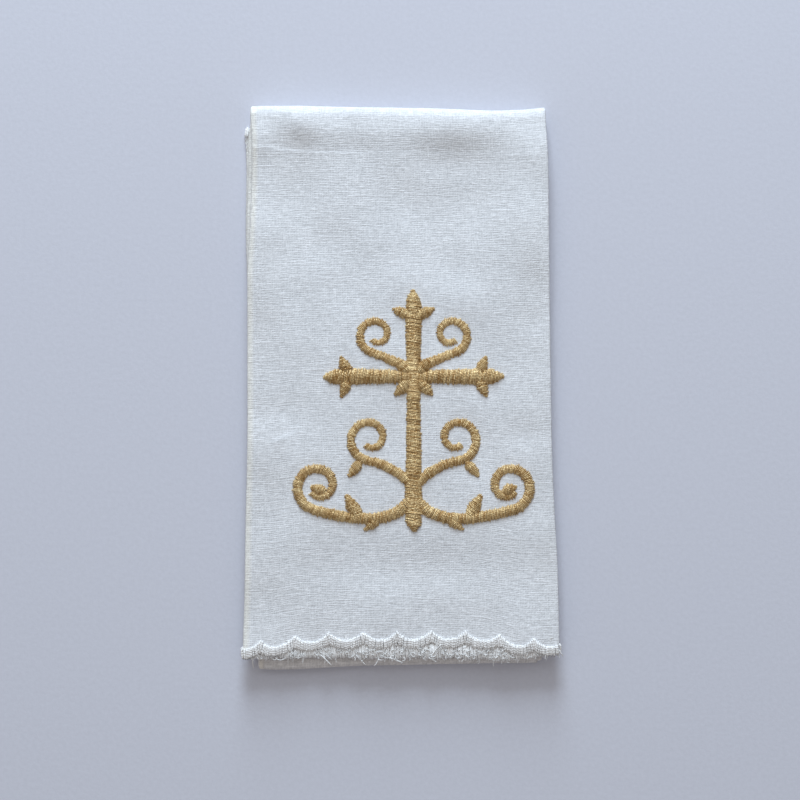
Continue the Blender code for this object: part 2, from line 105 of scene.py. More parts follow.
# The sides of the three layers, as they lie: a row for each place along the folded cloth
SIDE_COLUMNS = ("y", "front_left", "front_right", "middle_left", "middle_right", "back_left", "back_right")
SIDES = (
    (-72.0, -41.9, 41.8, -37.8, 37.2, -37.8, 37.2),
    (-62.0, -41.8, 41.7, -38.2, 37.8, -38.0, 37.5),
    (-45.0, -41.5, 41.5, -39.0, 38.5, -38.8, 38.1),
    (-30.0, -41.4, 40.8, -39.8, 39.0, -39.6, 38.5),
    (-12.0, -41.1, 40.2, -40.6, 39.3, -40.5, 38.8),
    (12.0, -41.3, 40.0, -41.0, 39.4, -41.2, 39.0),
    (32.0, -41.4, 39.9, -41.5, 39.4, -41.9, 38.9),
    (48.0, -40.8, 39.8, -42.0, 39.3, -42.4, 38.8),
    (60.0, -40.5, 39.8, -41.7, 39.2, -42.3, 38.6),
    (70.0, -40.5, 39.5, -41.6, 39.0, -42.5, 38.4),
    (77.0, -41.0, 39.2, -41.2, 39.1, -42.5, 38.2),
    (81.0, -41.1, 39.2, -41.1, 39.1, -42.5, 38.2),
)

# How far each cross line runs from straight, for each ply where they differ
LINE_COLUMNS = ("x", "hem_face", "hem_tucked", "hem_under", "top_fold", "low_fold",
                "back_face", "back_tucked", "back_under")
LINES = (
    (-42.0, -2.6, -2.6, -2.0, 0.35, -1.0, 1.6, -1.0, 1.6),
    (-37.0, -2.5, -2.6, -1.8, 0.50, -1.2, 0.6, -1.0, 2.4),
    (-28.0, -1.1, -2.6, -1.8, 0.45, -1.0, -1.0, -1.1, 1.8),
    (-19.0, -0.3, -2.5, -2.2, 0.30, -0.5, -2.0, -1.2, 1.5),
    (-9.0, 0.0, -2.6, -2.4, 0.10, -0.1, -2.8, -1.2, 1.2),
    (0.0, 0.0, -2.7, -2.4, 0.00, 0.0, -3.2, -1.2, 1.0),
    (9.0, 0.2, -2.6, -2.3, -0.20, 0.2, -3.4, -1.4, 0.9),
    (18.0, 0.1, -2.8, -2.3, -0.55, 0.35, -3.5, -1.7, 0.8),
    (27.0, -0.9, -3.2, -2.2, -0.80, 0.50, -3.6, -2.3, 0.6),
    (33.0, -1.8, -2.6, -1.6, -0.60, 0.55, -3.6, -2.8, 0.4),
    (38.0, -1.8, -1.9, -1.6, -0.30, 0.6, -3.6, -3.3, 0.2),
    (42.0, -1.7, -1.7, -1.5, 0.15, 0.7, -3.6, -3.6, 0.0),
)

# Undersides of the front and the middle layer, which sag past the back layer's end
REST_COLUMNS = ("y", "front", "middle")
RESTS = (
    (-72.0, 3.95, 1.95),
    (-64.0, 4.08, 1.95),
    (60.0, 4.10, 1.95),
    (67.0, 4.10, 1.95),
    (70.5, 4.08, 1.88),
    (73.5, 4.08, 1.30),
    (77.0, 4.12, 0.55),
)

# Soft troughs and ridges of the front layer: middle, half length along x and y, turn, and rise
SWELL_COLUMNS = ("x", "y", "along", "across", "turn", "rise")
SWELLS = (
    (-15.0, 72.2, 14.0, 4.3, 0.0, 0.60),
    (-39.0, 70.2, 5.0, 5.2, 0.0, 0.95),
    (-28.0, 75.2, 6.0, 5.4, 0.0, 1.65),
    (14.5, 73.6, 14.0, 5.8, 0.0, 1.72),
    (38.0, 66.8, 8.0, 7.5, 0.0, 1.15),
    (30.0, 78.5, 12.0, 4.5, 0.0, -0.36),
    (13.0, 63.5, 9.0, 4.5, 0.0, -0.30),
    (-28.0, 55.0, 7.0, 9.5, -8.0, -0.68),
    (9.0, 53.5, 14.0, 8.0, 4.0, -0.76),
    (-19.0, 42.5, 8.0, 6.0, 0.0, -0.68),
    (36.0, 44.8, 6.5, 12.5, 0.0, 1.50),
    (-38.5, 38.0, 5.0, 16.0, 0.0, 1.15),
    (6.0, 38.5, 12.0, 6.5, 0.0, -0.42),
    (16.0, 27.0, 9.0, 6.0, 0.0, 0.40),
    (36.0, 20.5, 5.0, 4.0, 0.0, -0.30),
    (35.0, -10.0, 7.0, 4.0, 0.0, -0.32),
    (-34.0, -4.3, 6.0, 3.6, 12.0, -0.30),
    (-34.0, -17.0, 10.0, 10.0, 0.0, 0.62),
    (-32.0, -38.0, 9.0, 9.0, 0.0, 0.50),
    (4.0, -45.5, 30.0, 6.5, 0.0, -0.56),
    (-6.0, -58.5, 8.0, 7.0, 0.0, 0.46),
    (32.0, -64.5, 11.0, 7.5, 0.0, 0.85),
    (-38.0, -66.0, 8.0, 6.0, 0.0, 0.45),
)
MIDDLE_SHARE = 0.5

# Where the short crease and the main pressed-in line run along the cloth
CREASE_ZONE = (-12.8, -7.6)
PRESS_ZONE = (65.6, 69.6)

# Pressed-in lines of the front layer, the short crease last: ends, half width, and step up below the line
PRESS_COLUMNS = ("x0", "y0", "x1", "y1", "soft", "step")
PRESSES = (
    (-42.0, 68.8, -36.0, 68.4, 0.38, 0.15),
    (-36.0, 68.4, -32.5, 67.7, 0.38, 0.15),
    (-32.5, 67.7, -25.8, 67.1, 0.38, 0.15),
    (-25.8, 67.1, -13.0, 66.9, 0.45, 0.10),
    (-13.0, 66.9, 38.0, 66.5, 0.60, 0.05),
    (-42.0, 44.3, -24.0, 43.9, 0.70, 0.07),
    (-34.0, -11.9, -30.0, -9.7, 0.45, 0.36),
    (-30.0, -9.7, -26.6, -7.8, 0.50, 0.14),
)

# A satin stitch, head to tip and back: share of the way, distance out from the linen's middle, and size
STITCH_COLUMNS = ("share", "off", "size")
STITCHES = (
    (0.00, 0.00, 0.60),
    (0.03, 0.38, 0.95),
    (0.09, 0.56, 1.00),
    (0.30, 0.496, 1.00),
    (0.52, 0.428, 1.00),
    (0.74, 0.361, 1.00),
    (0.94, 0.30, 1.00),
    (1.00, 0.00, 1.00),
    (0.92, -0.32, 1.00),
    (0.50, -0.40, 1.00),
    (0.12, -0.46, 1.00),
    (0.04, -0.24, 0.70),
)

# Long loose ends: start, length, heading and curl in degrees, width, and the heights of both ends
FRAY_COLUMNS = ("x", "y", "length", "turn", "curl", "width", "start", "end")
FRAYS = (
    (-42.2, 72.8, 2.2, -98.0, 20.0, 0.36, 1.6, 1.4),
    (-42.6, 71.9, 1.7, -120.0, 60.0, 0.32, 1.4, 1.1),
    (-42.3, 70.8, 1.9, -80.0, -40.0, 0.32, 1.7, 1.5),
    (-39.3, -68.6, 3.0, -95.0, 10.0, 0.36, 5.6, 4.2),
    (-30.0, -68.4, 2.0, -90.0, 0.0, 0.28, 5.7, 4.9),
    (-29.8, -69.2, 2.6, 42.0, 8.0, 0.28, 5.7, 6.5),
    (-21.8, -68.1, 4.1, -40.0, -8.0, 0.40, 6.0, 5.1),
    (-17.5, -69.4, 0.9, -75.0, 0.0, 0.28, 5.7, 5.3),
    (-12.2, -68.1, 3.7, -52.0, 8.0, 0.34, 6.0, 5.0),
    (-6.4, -69.6, 1.6, -20.0, 30.0, 0.32, 5.8, 5.6),
    (-3.6, -69.1, 3.7, -16.0, -8.0, 0.36, 6.0, 5.5),
    (7.0, -69.0, 2.3, -32.0, 5.0, 0.36, 5.9, 5.4),
    (7.5, -69.3, 4.1, 56.0, -10.0, 0.30, 5.7, 6.7),
    (8.6, -69.1, 2.9, 50.0, 12.0, 0.28, 5.7, 6.5),
    (16.8, -68.4, 2.1, -36.0, -10.0, 0.34, 6.0, 5.4),
    (24.0, -69.4, 1.8, -12.0, 25.0, 0.32, 5.8, 5.5),
    (27.7, -67.7, 3.3, -42.0, 4.0, 0.28, 6.1, 5.0),
    (28.4, -66.2, 2.5, -148.0, 10.0, 0.38, 6.4, 6.2),
    (31.8, -67.6, 1.8, -45.0, -12.0, 0.38, 6.2, 5.8),
    (36.9, -66.9, 2.3, -143.0, 12.0, 0.42, 6.3, 6.0),
    (41.4, -66.7, 2.2, -60.0, 8.0, 0.36, 6.1, 5.6),
)

# The gold embroidery, drawn about its own middle
STITCH_X = 3.3
STITCH_Y = -3.4

# Straight satin columns: ends, and width at each end
BAR_COLUMNS = ("x0", "y0", "x1", "y1", "width0", "width1")
BARS = {
    "shaft_up": (0.0, 4.0, 0.0, 26.0, 3.6, 4.8),
    "shaft_down": (0.0, 14.0, 0.0, -28.0, 3.6, 5.0),
    "arm_right": (-3.0, 9.0, 18.0, 9.0, 3.5, 4.7),
    "arm_left": (3.0, 9.0, -18.0, 9.0, 3.5, 4.7),
}

# Scrolls, each on both sides: a stem from its root, and a volute about its own centre, which turns inwards
SCROLL_COLUMNS = ("root_x", "root_y", "lean_x", "lean_y", "eye_x", "eye_y", "outer", "inner",
                  "start", "turn", "lead", "width0", "width1")
SCROLLS = {
    "base": (0.8, -24.0, 6.0, -32.0, 25.4, -20.4, 6.4, 2.3, -75.0, 395.0, 8.0, 3.2, 1.9),
    "lower": (0.6, -20.0, 3.2, -17.2, 11.6, -7.6, 6.0, 2.1, -82.0, 390.0, 5.0, 2.8, 1.7),
    "upper": (1.6, 11.0, 4.4, 12.8, 10.0, 20.4, 5.0, 1.9, -72.0, 380.0, 4.0, 2.6, 1.6),
}

# Leaves and buds: root, direction, length and width; those marked are on both sides
LEAF_COLUMNS = ("x", "y", "turn", "length", "width", "both")
LEAVES = {
    "top_bud": (0.0, 25.2, 90.0, 7.4, 4.4, False),
    "top_barb": (0.6, 25.4, 22.0, 5.6, 3.0, True),
    "arm_bud": (17.2, 9.0, 0.0, 7.2, 4.4, True),
    "arm_barb_up": (17.4, 9.6, 66.0, 5.4, 3.0, True),
    "arm_barb_down": (17.4, 8.4, -66.0, 5.4, 3.0, True),
    "foot_bud": (0.0, -27.0, -90.0, 5.6, 4.6, False),
    "heart_up": (0.6, 9.6, 45.0, 6.4, 3.4, True),
    "heart_down": (0.6, 8.4, -45.0, 6.4, 3.4, True),
    "base_leaf": (14.5, -29.2, 62.0, 7.6, 3.6, True),
    "base_barb": (9.0, -28.8, -38.0, 5.4, 2.8, True),
    "lower_leaf": (14.0, -13.6, -52.0, 5.6, 2.8, True),
    "eye_drop": (23.6, -22.0, 20.0, 4.2, 3.2, True),
}
LEAF_ROOT = 0.08
LEAF_BODY = 0.87
LEAF_LEAN = 0.8


class LinenSettings(bpy.types.PropertyGroup):
    """Sizes and colour of the linen sheet."""

    flat_width: bpy.props.FloatProperty(
        name="Flat width", description="Width that the cloth was cut to", default=0.250, unit="LENGTH")
    flat_length: bpy.props.FloatProperty(
        name="Flat length", description="Length of the cloth laid flat", default=0.4417, unit="LENGTH")
    thickness: bpy.props.FloatProperty(
        name="Thickness", description="Thickness of one ply of linen", default=0.00038,
        unit="LENGTH", precision=5)
    yarn_pitch: bpy.props.FloatProperty(
        name="Yarn pitch", description="Distance between neighbouring yarns", default=0.00046,
        unit="LENGTH", precision=5)
    colour: bpy.props.FloatVectorProperty(
        name="Linen", description="Colour of the bleached linen", default=(0.842, 0.857, 0.880), size=3,
        subtype="COLOR", min=0.0, max=1.0)


class EdgeSettings(bpy.types.PropertyGroup):
    """Sizes and colour of the white satin edge and its loose ends."""

    thread_width: bpy.props.FloatProperty(
        name="Thread width", description="Width of the white satin thread", default=0.00054, unit="LENGTH",
        precision=5)
    thread_pitch: bpy.props.FloatProperty(
        name="Thread pitch", description="Distance between neighbouring white stitches", default=0.00042,
        unit="LENGTH", precision=5)
    fuzz: bpy.props.IntProperty(
        name="Fuzz", description="Number of short loose ends along the front edge", default=190)
    curls: bpy.props.IntProperty(
        name="Curls", description="Number of curled ends over the edge of the tucked ply", default=430)
    colour: bpy.props.FloatVectorProperty(
        name="White thread", description="Colour of the edge thread", default=(1.0, 0.995, 0.985), size=3,
        subtype="COLOR", min=0.0, max=1.0)


class GoldSettings(bpy.types.PropertyGroup):
    """Sizes and colours of the gold stitching."""

    thread_width: bpy.props.FloatProperty(
        name="Thread width", description="Width of the gold thread", default=0.00040,
        unit="LENGTH", precision=5)
    thread_pitch: bpy.props.FloatProperty(
        name="Thread pitch", description="Distance between neighbouring gold stitches", default=0.00040,
        unit="LENGTH", precision=5)
    height: bpy.props.FloatProperty(
        name="Height", description="Height of the padded stitches over the linen", default=0.00085,
        unit="LENGTH", precision=5)
    # The gold threads' speckles run between light and dark gold: partly the thread's own tone, partly painted
    # glints and painted shade
    light_colour: bpy.props.FloatVectorProperty(
        name="Light gold", description="Colour of the brightest threads", default=(1.0, 0.79, 0.43), size=3,
        subtype="COLOR", min=0.0, max=1.0)
    dark_colour: bpy.props.FloatVectorProperty(
        name="Dark gold", description="Colour of the darkest threads", default=(0.38, 0.19, 0.04), size=3,
        subtype="COLOR", min=0.0, max=1.0)


class StageSettings(bpy.types.PropertyGroup):
    """The floor, the light and the camera."""

    floor_colour: bpy.props.FloatVectorProperty(
        name="Floor", description="Colour of the floor", default=(0.68, 0.69, 0.765), size=3,
        subtype="COLOR", min=0.0, max=1.0)
    window_power: bpy.props.FloatProperty(
        name="Window light", description="Power of the low soft light", default=13.4, unit="POWER")
    sky_power: bpy.props.FloatProperty(
        name="High light", description="Power of the high soft light", default=2.1, unit="POWER")
    fill_strength: bpy.props.FloatProperty(
        name="Fill light", description="Strength of the light from above and all round", default=0.46)


def settings():
    """The four groups of settings, as the scene holds them."""
    scene = bpy.context.scene
    return scene.purificator_linen, scene.purificator_edge, scene.purificator_gold, scene.purificator_stage


def by_column(table, columns):
    """The columns of a table as arrays, by name."""
    return dict(zip(columns, np.array(table, dtype=float).T))


def read_row(row, columns):
    """A row of a table as a dictionary by column name."""
    return dict(zip(columns, row))


def blend(first, second, share):
    """A mix of two values: the first where the share is 0, and the second where it is 1."""
    return first * (1.0 - share) + second * share


def between(value, start, end):
    """How far a value is on the way from start to end, held between 0 and 1."""
    return np.clip((value - start) / (end - start), 0.0, 1.0)


def smooth(value):
    """Runs from 0 to 1 with level ends: 3t squared less 2t cubed."""
    clipped = np.clip(value, 0.0, 1.0)
    return clipped * clipped * (3.0 - 2.0 * clipped)


def flowing(place, places, values):
    """A curve through table values without overshoot.

    Between two rows it is the cubic with the given ends and slopes. The slope at a row is the harmonic mean
    of the slopes on its two sides, or zero where they differ in sign. An end row has the slope of its one
    side.
    """
    step = np.diff(places)
    slope = np.diff(values) / step
    tangent = np.concatenate(([slope[0]], np.zeros(len(slope) - 1), [slope[-1]]))
    same = slope[1:] * slope[:-1] > 0.0
    tangent[1:-1][same] = 2.0 * slope[1:][same] * slope[:-1][same] / (slope[1:][same] + slope[:-1][same])
    clipped = np.clip(place, places[0], places[-1])
    part = np.clip(np.searchsorted(places, clipped, side="right") - 1, 0, len(step) - 1)
    t = (clipped - places[part]) / step[part]
    start, end = values[part], values[part + 1]
    rise0, rise1 = tangent[part] * step[part], tangent[part + 1] * step[part]
    bend = (2 * t ** 3 - 3 * t ** 2 + 1) * start + (t ** 3 - 2 * t ** 2 + t) * rise0
    return bend + (3 * t ** 2 - 2 * t ** 3) * end + (t ** 3 - t ** 2) * rise1


def flowing_columns(place, table):
    """Each further column of a table as a curve over its first one, read at the given places."""
    first, *others = table
    return {name: flowing(place, table[first], table[name]) for name in others}


def unit(vectors):
    """Vectors brought to length one."""
    return vectors / np.maximum(np.linalg.norm(vectors, axis=-1, keepdims=True), TINY)


def run_along(line):
    """How far each point of a flat line lies along it."""
    return np.concatenate(([0.0], np.cumsum(np.hypot(*np.diff(line, axis=0).T))))


def read_line(at, run, line):
    """Both coordinates of a flat line at places along it."""
    return [np.interp(at, run, values) for values in line.T]


def beside_line(at, run, line, reach, off):
    """Places off millimetres square to a flat line, whose heading is read a short reach each way."""
    x, y = read_line(at, run, line)
    before, after = read_line(at - reach, run, line), read_line(at + reach, run, line)
    dx, dy = after[0] - before[0], after[1] - before[1]
    size = np.maximum(np.hypot(dx, dy), TINY)
    return x - off * dy / size, y + off * dx / size


def half_ellipse(centre, start_level, end_level, reach, steps):
    """Points between two levels on half an ellipse that bulges by reach past a centre line."""
    turn = np.linspace(0.0, math.pi, steps + 2)[1:-1]
    middle = (start_level + end_level) / 2.0
    rise = (start_level - end_level) / 2.0
    return np.column_stack((centre + reach * np.sin(turn), middle + rise * np.cos(turn)))


def bar_line(bar, stations):
    """Middle line and width of a straight satin column, whose width grows with the square of the run."""
    step = np.linspace(0.0, 1.0, stations)
    line = np.column_stack((bar["x0"] + (bar["x1"] - bar["x0"]) * step,
                            bar["y0"] + (bar["y1"] - bar["y0"]) * step))
    return line, bar["width0"] + (bar["width1"] - bar["width0"]) * step ** 2


def scroll_line(scroll, stations):
    """Middle line and width of a scroll.

    Its stem is a cubic from the root, and then comes a spiral whose radius shrinks evenly as it turns. The
    width changes evenly from station to station.
    """
    start = math.radians(scroll["start"])
    joint = np.array((scroll["eye_x"] + scroll["outer"] * math.cos(start),
                      scroll["eye_y"] + scroll["outer"] * math.sin(start)))
    heading = np.array((-math.sin(start), math.cos(start)))
    root = np.array((scroll["root_x"], scroll["root_y"]))
    lean = np.array((scroll["lean_x"], scroll["lean_y"]))
    reach = joint - scroll["lead"] * heading
    stem_count = stations // 3
    t = np.linspace(0.0, 1.0, stem_count, endpoint=False)[:, None]
    stem = (1 - t) ** 3 * root + 3 * (1 - t) ** 2 * t * lean + 3 * (1 - t) * t ** 2 * reach + t ** 3 * joint
    turn = np.linspace(0.0, 1.0, stations - stem_count)
    radius = scroll["outer"] + (scroll["inner"] - scroll["outer"]) * turn
    angle = start + math.radians(scroll["turn"]) * turn
    spiral = np.column_stack((scroll["eye_x"] + radius * np.cos(angle),
                              scroll["eye_y"] + radius * np.sin(angle)))
    line = np.vstack((stem, spiral))
    run = np.linspace(0.0, 1.0, len(line))
    return line, scroll["width0"] + (scroll["width1"] - scroll["width0"]) * run


def leaf_line(leaf, stations):
    """Middle line and width of a leaf: its width follows half a sine, widest before the middle."""
    turn = math.radians(leaf["turn"])
    run = np.linspace(0.0, 1.0, stations)
    line = np.column_stack((leaf["x"] + leaf["length"] * run * math.cos(turn),
                            leaf["y"] + leaf["length"] * run * math.sin(turn)))
    return line, leaf["width"] * np.sin(math.pi * (LEAF_ROOT + LEAF_BODY * run ** LEAF_LEAN))


STROKE_STATIONS = 90
MIRRORED = (-1.0, 1.0)

# How far the stitches of bars, of the heart's leaves and of other leaves lie over their neighbours
BAR_LIFT = 0.12
HEART_LIFT = 0.24
LEAF_LIFT = 0.06


def gold_strokes():
    """Every stroke of the embroidery in drawing places: middle line, width, and lift over its neighbours."""
    strokes = [(*bar_line(read_row(row, BAR_COLUMNS), STROKE_STATIONS), BAR_LIFT) for row in BARS.values()]
    for row in SCROLLS.values():
        line, width = scroll_line(read_row(row, SCROLL_COLUMNS), STROKE_STATIONS)
        strokes += [(line, width, 0.0), (line * MIRRORED, width, 0.0)]
    for name, row in LEAVES.items():
        leaf = read_row(row, LEAF_COLUMNS)
        line, width = leaf_line(leaf, STROKE_STATIONS)
        lift = HEART_LIFT if "heart" in name else LEAF_LIFT
        strokes.append((line, width, lift))
        if leaf["both"]:
            strokes.append((line * MIRRORED, width, lift))
    return [(line + (STITCH_X, STITCH_Y), width, lift) for line, width, lift in strokes]


class FoldedCloth:
    """Gives the folded place of any flat place of the cloth."""

    SECTION_STEPS = 60
    PATH_STEPS = 160
    FOLD_STEPS = 24
    PATH_SPARE = 8.0
    PUCKER_DEPTH = 0.11
    PUCKER_REACH = 1.3
    PUCKER_GRID = 0.8
    PUCKER_X = (-46.0, 46.5)
    PUCKER_Y = (-74.0, 84.0)
    RIPPLES = 26
    RIPPLE_LENGTH = (7.0, 30.0)
    RIPPLE_RISE = 0.0014
    SECTION_REACH = 0.05
    PATH_REACH = 0.1
    PRESS_END = 1.0
    PRESS_FADE = 5.0
    MIDDLE_FADE = 6.0

    def __init__(self, linen):
        self.sides = by_column(SIDES, SIDE_COLUMNS)
        self.lines = by_column(LINES, LINE_COLUMNS)
        self.rests = by_column(RESTS, REST_COLUMNS)
        self.width = linen.flat_width / MM
        self.length = linen.flat_length / MM
        self.half_ply = linen.thickness / MM / 2.0
        self.pitch = self.width / SCALLOPS_ACROSS
        self.make_section()
        self.make_path()
        self.make_ripples()
        self.make_puckers()

    def make_section(self):
        """The lengthways folds seen from the end: under ply, left fold, face ply, right fold, tucked ply.

        Each ply is a level line, and each fold is half an ellipse.
        """
        left = -(STRIP_EDGE - LEFT_REACH)
        right = STRIP_EDGE - RIGHT_REACH

        def level(start, end, height):
            """Points of one ply, evenly from start to end."""
            return np.column_stack((np.linspace(start, end, self.SECTION_STEPS),
                                    np.full(self.SECTION_STEPS, height)))

        self.section = np.vstack((
            level(UNDER_CUT, left, UNDER_LEVEL),
            half_ellipse(left, UNDER_LEVEL, FACE_LEVEL, -LEFT_REACH, self.FOLD_STEPS),
            level(left, right, FACE_LEVEL),
            half_ellipse(right, FACE_LEVEL, TUCKED_LEVEL, RIGHT_REACH, self.FOLD_STEPS),
            level(right, TUCKED_CUT, TUCKED_LEVEL),
        ))
        run = run_along(self.section)
        self.section_run = (run / run[-1] - 0.5) * self.width
        starts = np.array((self.SECTION_STEPS, 2 * self.SECTION_STEPS + self.FOLD_STEPS))
        self.turn_starts = self.section_run[starts]
        self.left_turn, self.right_turn = self.section_run[starts + self.FOLD_STEPS // 2]

    def rest(self, layer, y):
        """Height of the underside of the front or the middle layer."""
        return flowing(y, self.rests["y"], self.rests[layer])

    def make_path(self):
        """The crossways folds from the side: front layer, top fold, middle layer, low fold, back layer.

        Each layer runs at half a strip over its rest, and each fold is half an ellipse. The low fold leans in
        below by the cube of a smooth step.
        """
        half = STRIP_THICK / 2.0
        top_y = TOP_FOLD_Y - TOP_FOLD_REACH - half
        low_y = LOW_FOLD_Y + LOW_FOLD_REACH + half
        front_y = np.linspace(HEM_Y - self.PATH_SPARE, top_y, self.PATH_STEPS)
        middle_y = np.linspace(top_y, low_y, self.PATH_STEPS)
        back_y = np.linspace(low_y + LOW_FOLD_LEAN, TOP_FOLD_Y + self.PATH_SPARE, self.PATH_STEPS)
        front = np.column_stack((front_y, self.rest("front", front_y) + half))
        middle = np.column_stack((middle_y, self.rest("middle", middle_y) + half))
        back = np.column_stack((back_y, np.full(self.PATH_STEPS, half)))
        top = half_ellipse(top_y, front[-1, 1], middle[0, 1], TOP_FOLD_REACH, self.FOLD_STEPS)
        low = half_ellipse(low_y, middle[-1, 1], back[0, 1], -LOW_FOLD_REACH, self.FOLD_STEPS)
        drop = (middle[-1, 1] - low[:, 1]) / (middle[-1, 1] - back[0, 1])
        low[:, 0] += LOW_FOLD_LEAN * smooth(drop) ** LOW_FOLD_TUCK
        self.path = np.vstack((front, top, middle, low, back))
        run = run_along(self.path)
        run -= np.interp(HEM_Y, front_y, run[:self.PATH_STEPS])
        self.path_run = run
        ends = np.cumsum([len(front), len(top), len(middle), len(low)])
        self.crease_start, self.crease_end = np.interp(CREASE_ZONE, front_y, run[:self.PATH_STEPS])
        self.press_start, self.press_end = np.interp(PRESS_ZONE, front_y, run[:self.PATH_STEPS])
        self.top_start, self.top_end = run[ends[0] - 1], run[ends[1]]
        self.low_start, self.low_end = run[ends[2] - 1], run[ends[3]]

    def make_ripples(self):
        """Faint unevenness of the pressed linen: a few waves of random heading, length and start."""
        draw = np.random.default_rng(11)
        length = draw.uniform(*self.RIPPLE_LENGTH, self.RIPPLES)
        heading = draw.uniform(0.0, math.pi, self.RIPPLES)
        start = draw.uniform(0.0, 2.0 * math.pi, self.RIPPLES)
        along_x = 2.0 * math.pi / length * np.cos(heading)
        along_y = 2.0 * math.pi / length * np.sin(heading)
        self.ripples = list(zip(along_x, along_y, start, self.RIPPLE_RISE * length))

    def make_puckers(self):
        """How far the linen is drawn down beside the gold stitches, on a grid over the front layer.

        It falls off as e to minus the square of the distance from the nearest stroke.
        """
        self.pucker_x = np.arange(*self.PUCKER_X, self.PUCKER_GRID)
        self.pucker_y = np.arange(*self.PUCKER_Y, self.PUCKER_GRID)
        x, y = np.meshgrid(self.pucker_x, self.pucker_y, indexing="ij")
        nearest = np.full(x.shape, FAR)
        for line, width, _ in gold_strokes():
            for (px, py), half in zip(line[::3], width[::3] / 2.0):
                nearest = np.minimum(nearest, np.hypot(x - px, y - py) - half)
        self.pucker = -self.PUCKER_DEPTH * np.exp(-(np.maximum(nearest, 0.0) / self.PUCKER_REACH) ** 2)

    def pucker_at(self, x, y):
        """The pucker grid read between its points, straight both ways."""
        fx = np.clip((x - self.pucker_x[0]) / self.PUCKER_GRID, 0.0, len(self.pucker_x) - 1.001)
        fy = np.clip((y - self.pucker_y[0]) / self.PUCKER_GRID, 0.0, len(self.pucker_y) - 1.001)
        ix, iy = fx.astype(int), fy.astype(int)
        low = blend(self.pucker[ix, iy], self.pucker[ix + 1, iy], fx - ix)
        high = blend(self.pucker[ix, iy + 1], self.pucker[ix + 1, iy + 1], fx - ix)
        return blend(low, high, fy - iy)

    def broad_relief(self, x, y):
        """Rise of soft swells and faint waves.

        A swell falls off as e to minus the squares of the distances along and across it. A wave is a sine.
        """
        total = np.zeros(np.broadcast(x, y).shape)
        for row in SWELLS:
            place = read_row(row, SWELL_COLUMNS)
            turn = math.radians(place["turn"])
            dx, dy = x - place["x"], y - place["y"]
            along = (dx * math.cos(turn) + dy * math.sin(turn)) / place["along"]
            across = (dy * math.cos(turn) - dx * math.sin(turn)) / place["across"]
            total = total + place["rise"] * np.exp(-along ** 2 - across ** 2)
        for along_x, along_y, start, rise in self.ripples:
            total = total + rise * np.sin(along_x * x + along_y * y + start)
        return total

    def fine_relief(self, x, y):
        """Rise of the pressed-in lines, and of the puckers beside the stitching.

        A pressed line is a smooth step across it, which fades away from the line below it and past its ends.
        """
        total = self.pucker_at(x, y)
        for row in PRESSES:
            press = read_row(row, PRESS_COLUMNS)
            dx, dy = press["x1"] - press["x0"], press["y1"] - press["y0"]
            size = math.hypot(dx, dy)
            along = ((x - press["x0"]) * dx + (y - press["y0"]) * dy) / size
            across = ((y - press["y0"]) * dx - (x - press["x0"]) * dy) / size
            start = smooth((along + self.PRESS_END) / (2.0 * self.PRESS_END))
            end = smooth((size + self.PRESS_END - along) / (2.0 * self.PRESS_END))
            fade = np.exp(-np.maximum(-across, 0.0) / self.PRESS_FADE)
            rise = smooth(0.5 - across / (2.0 * press["soft"]))
            total = total + press["step"] * (start * end) * fade * rise
        return total

    def front_height(self, x, y):
        """Height of the linen's upper face on the front layer."""
        relief = self.broad_relief(x, y) + self.fine_relief(x, y)
        return self.rest("front", y) + FACE_LEVEL + self.half_ply + relief

    def place(self, u, v, off=0.0):
        """Folded place of flat places u and v, off millimetres out from the linen's face.

        The section gives the ply and its height in the strip, the path folds the strip, the table of sides
        gives each layer its width, and the table of lines lets each cross line run as it lies.
        """
        u, v, off = np.broadcast_arrays(*(np.asarray(value, float) for value in (u, v, off)))
        across, through = beside_line(u, self.section_run, self.section, self.SECTION_REACH, off)
        y, z = beside_line(v, self.path_run, self.path, self.PATH_REACH, through - STRIP_THICK / 2.0)

        to_middle = smooth((v - self.top_start) / (self.top_end - self.top_start))
        to_back = smooth((v - self.low_start) / (self.low_end - self.low_start))
        share = (across + STRIP_EDGE) / (2.0 * STRIP_EDGE)
        edge = flowing_columns(y, self.sides)
        weights = {"front": 1.0 - to_middle, "middle": to_middle * (1.0 - to_back), "back": to_back}
        x = sum(weight * blend(edge[layer + "_left"], edge[layer + "_right"], share)
                for layer, weight in weights.items())

        line = flowing_columns(across, self.lines)
        under, tucked = u < self.left_turn, u > self.right_turn

        def of_ply(end):
            """The cloth's end line on the ply of each place."""
            inner = np.where(tucked, line[end + "_tucked"], line[end + "_face"])
            return np.where(under, line[end + "_under"], inner)

        hem = of_ply("hem")
        front_run = blend(hem, line["top_fold"], between(v, 0.0, self.top_start))
        middle_run = blend(line["top_fold"], line["low_fold"], between(v, self.top_end, self.low_start))
        back_run = blend(line["low_fold"], of_ply("back"), between(v, self.low_end, self.length))
        top_mid = (self.top_start + self.top_end) / 2.0
        low_mid = (self.low_start + self.low_end) / 2.0
        y = y + np.where(v < top_mid, front_run, np.where(v < low_mid, middle_run, back_run))
        front = 1.0 - to_middle
        past_top = smooth((v - self.top_end) / self.MIDDLE_FADE)
        middle = past_top * smooth((self.low_start - v) / self.MIDDLE_FADE)
        z = z + self.broad_relief(x, y) * (front + MIDDLE_SHARE * middle) + self.fine_relief(x, y) * front
        beyond = line["hem_face"] - hem - v
        z = z + np.where(under | tucked, HEM_LIFT * smooth(beyond / HEM_LIFT_RUN), 0.0)
        return np.stack((x, y, z), axis=-1)

    def outward(self, u, v, off):
        """Direction straight out from the linen's face at flat places."""
        outer = self.place(u, v, off + self.SECTION_REACH)
        return unit(outer - self.place(u, v, off - self.SECTION_REACH))

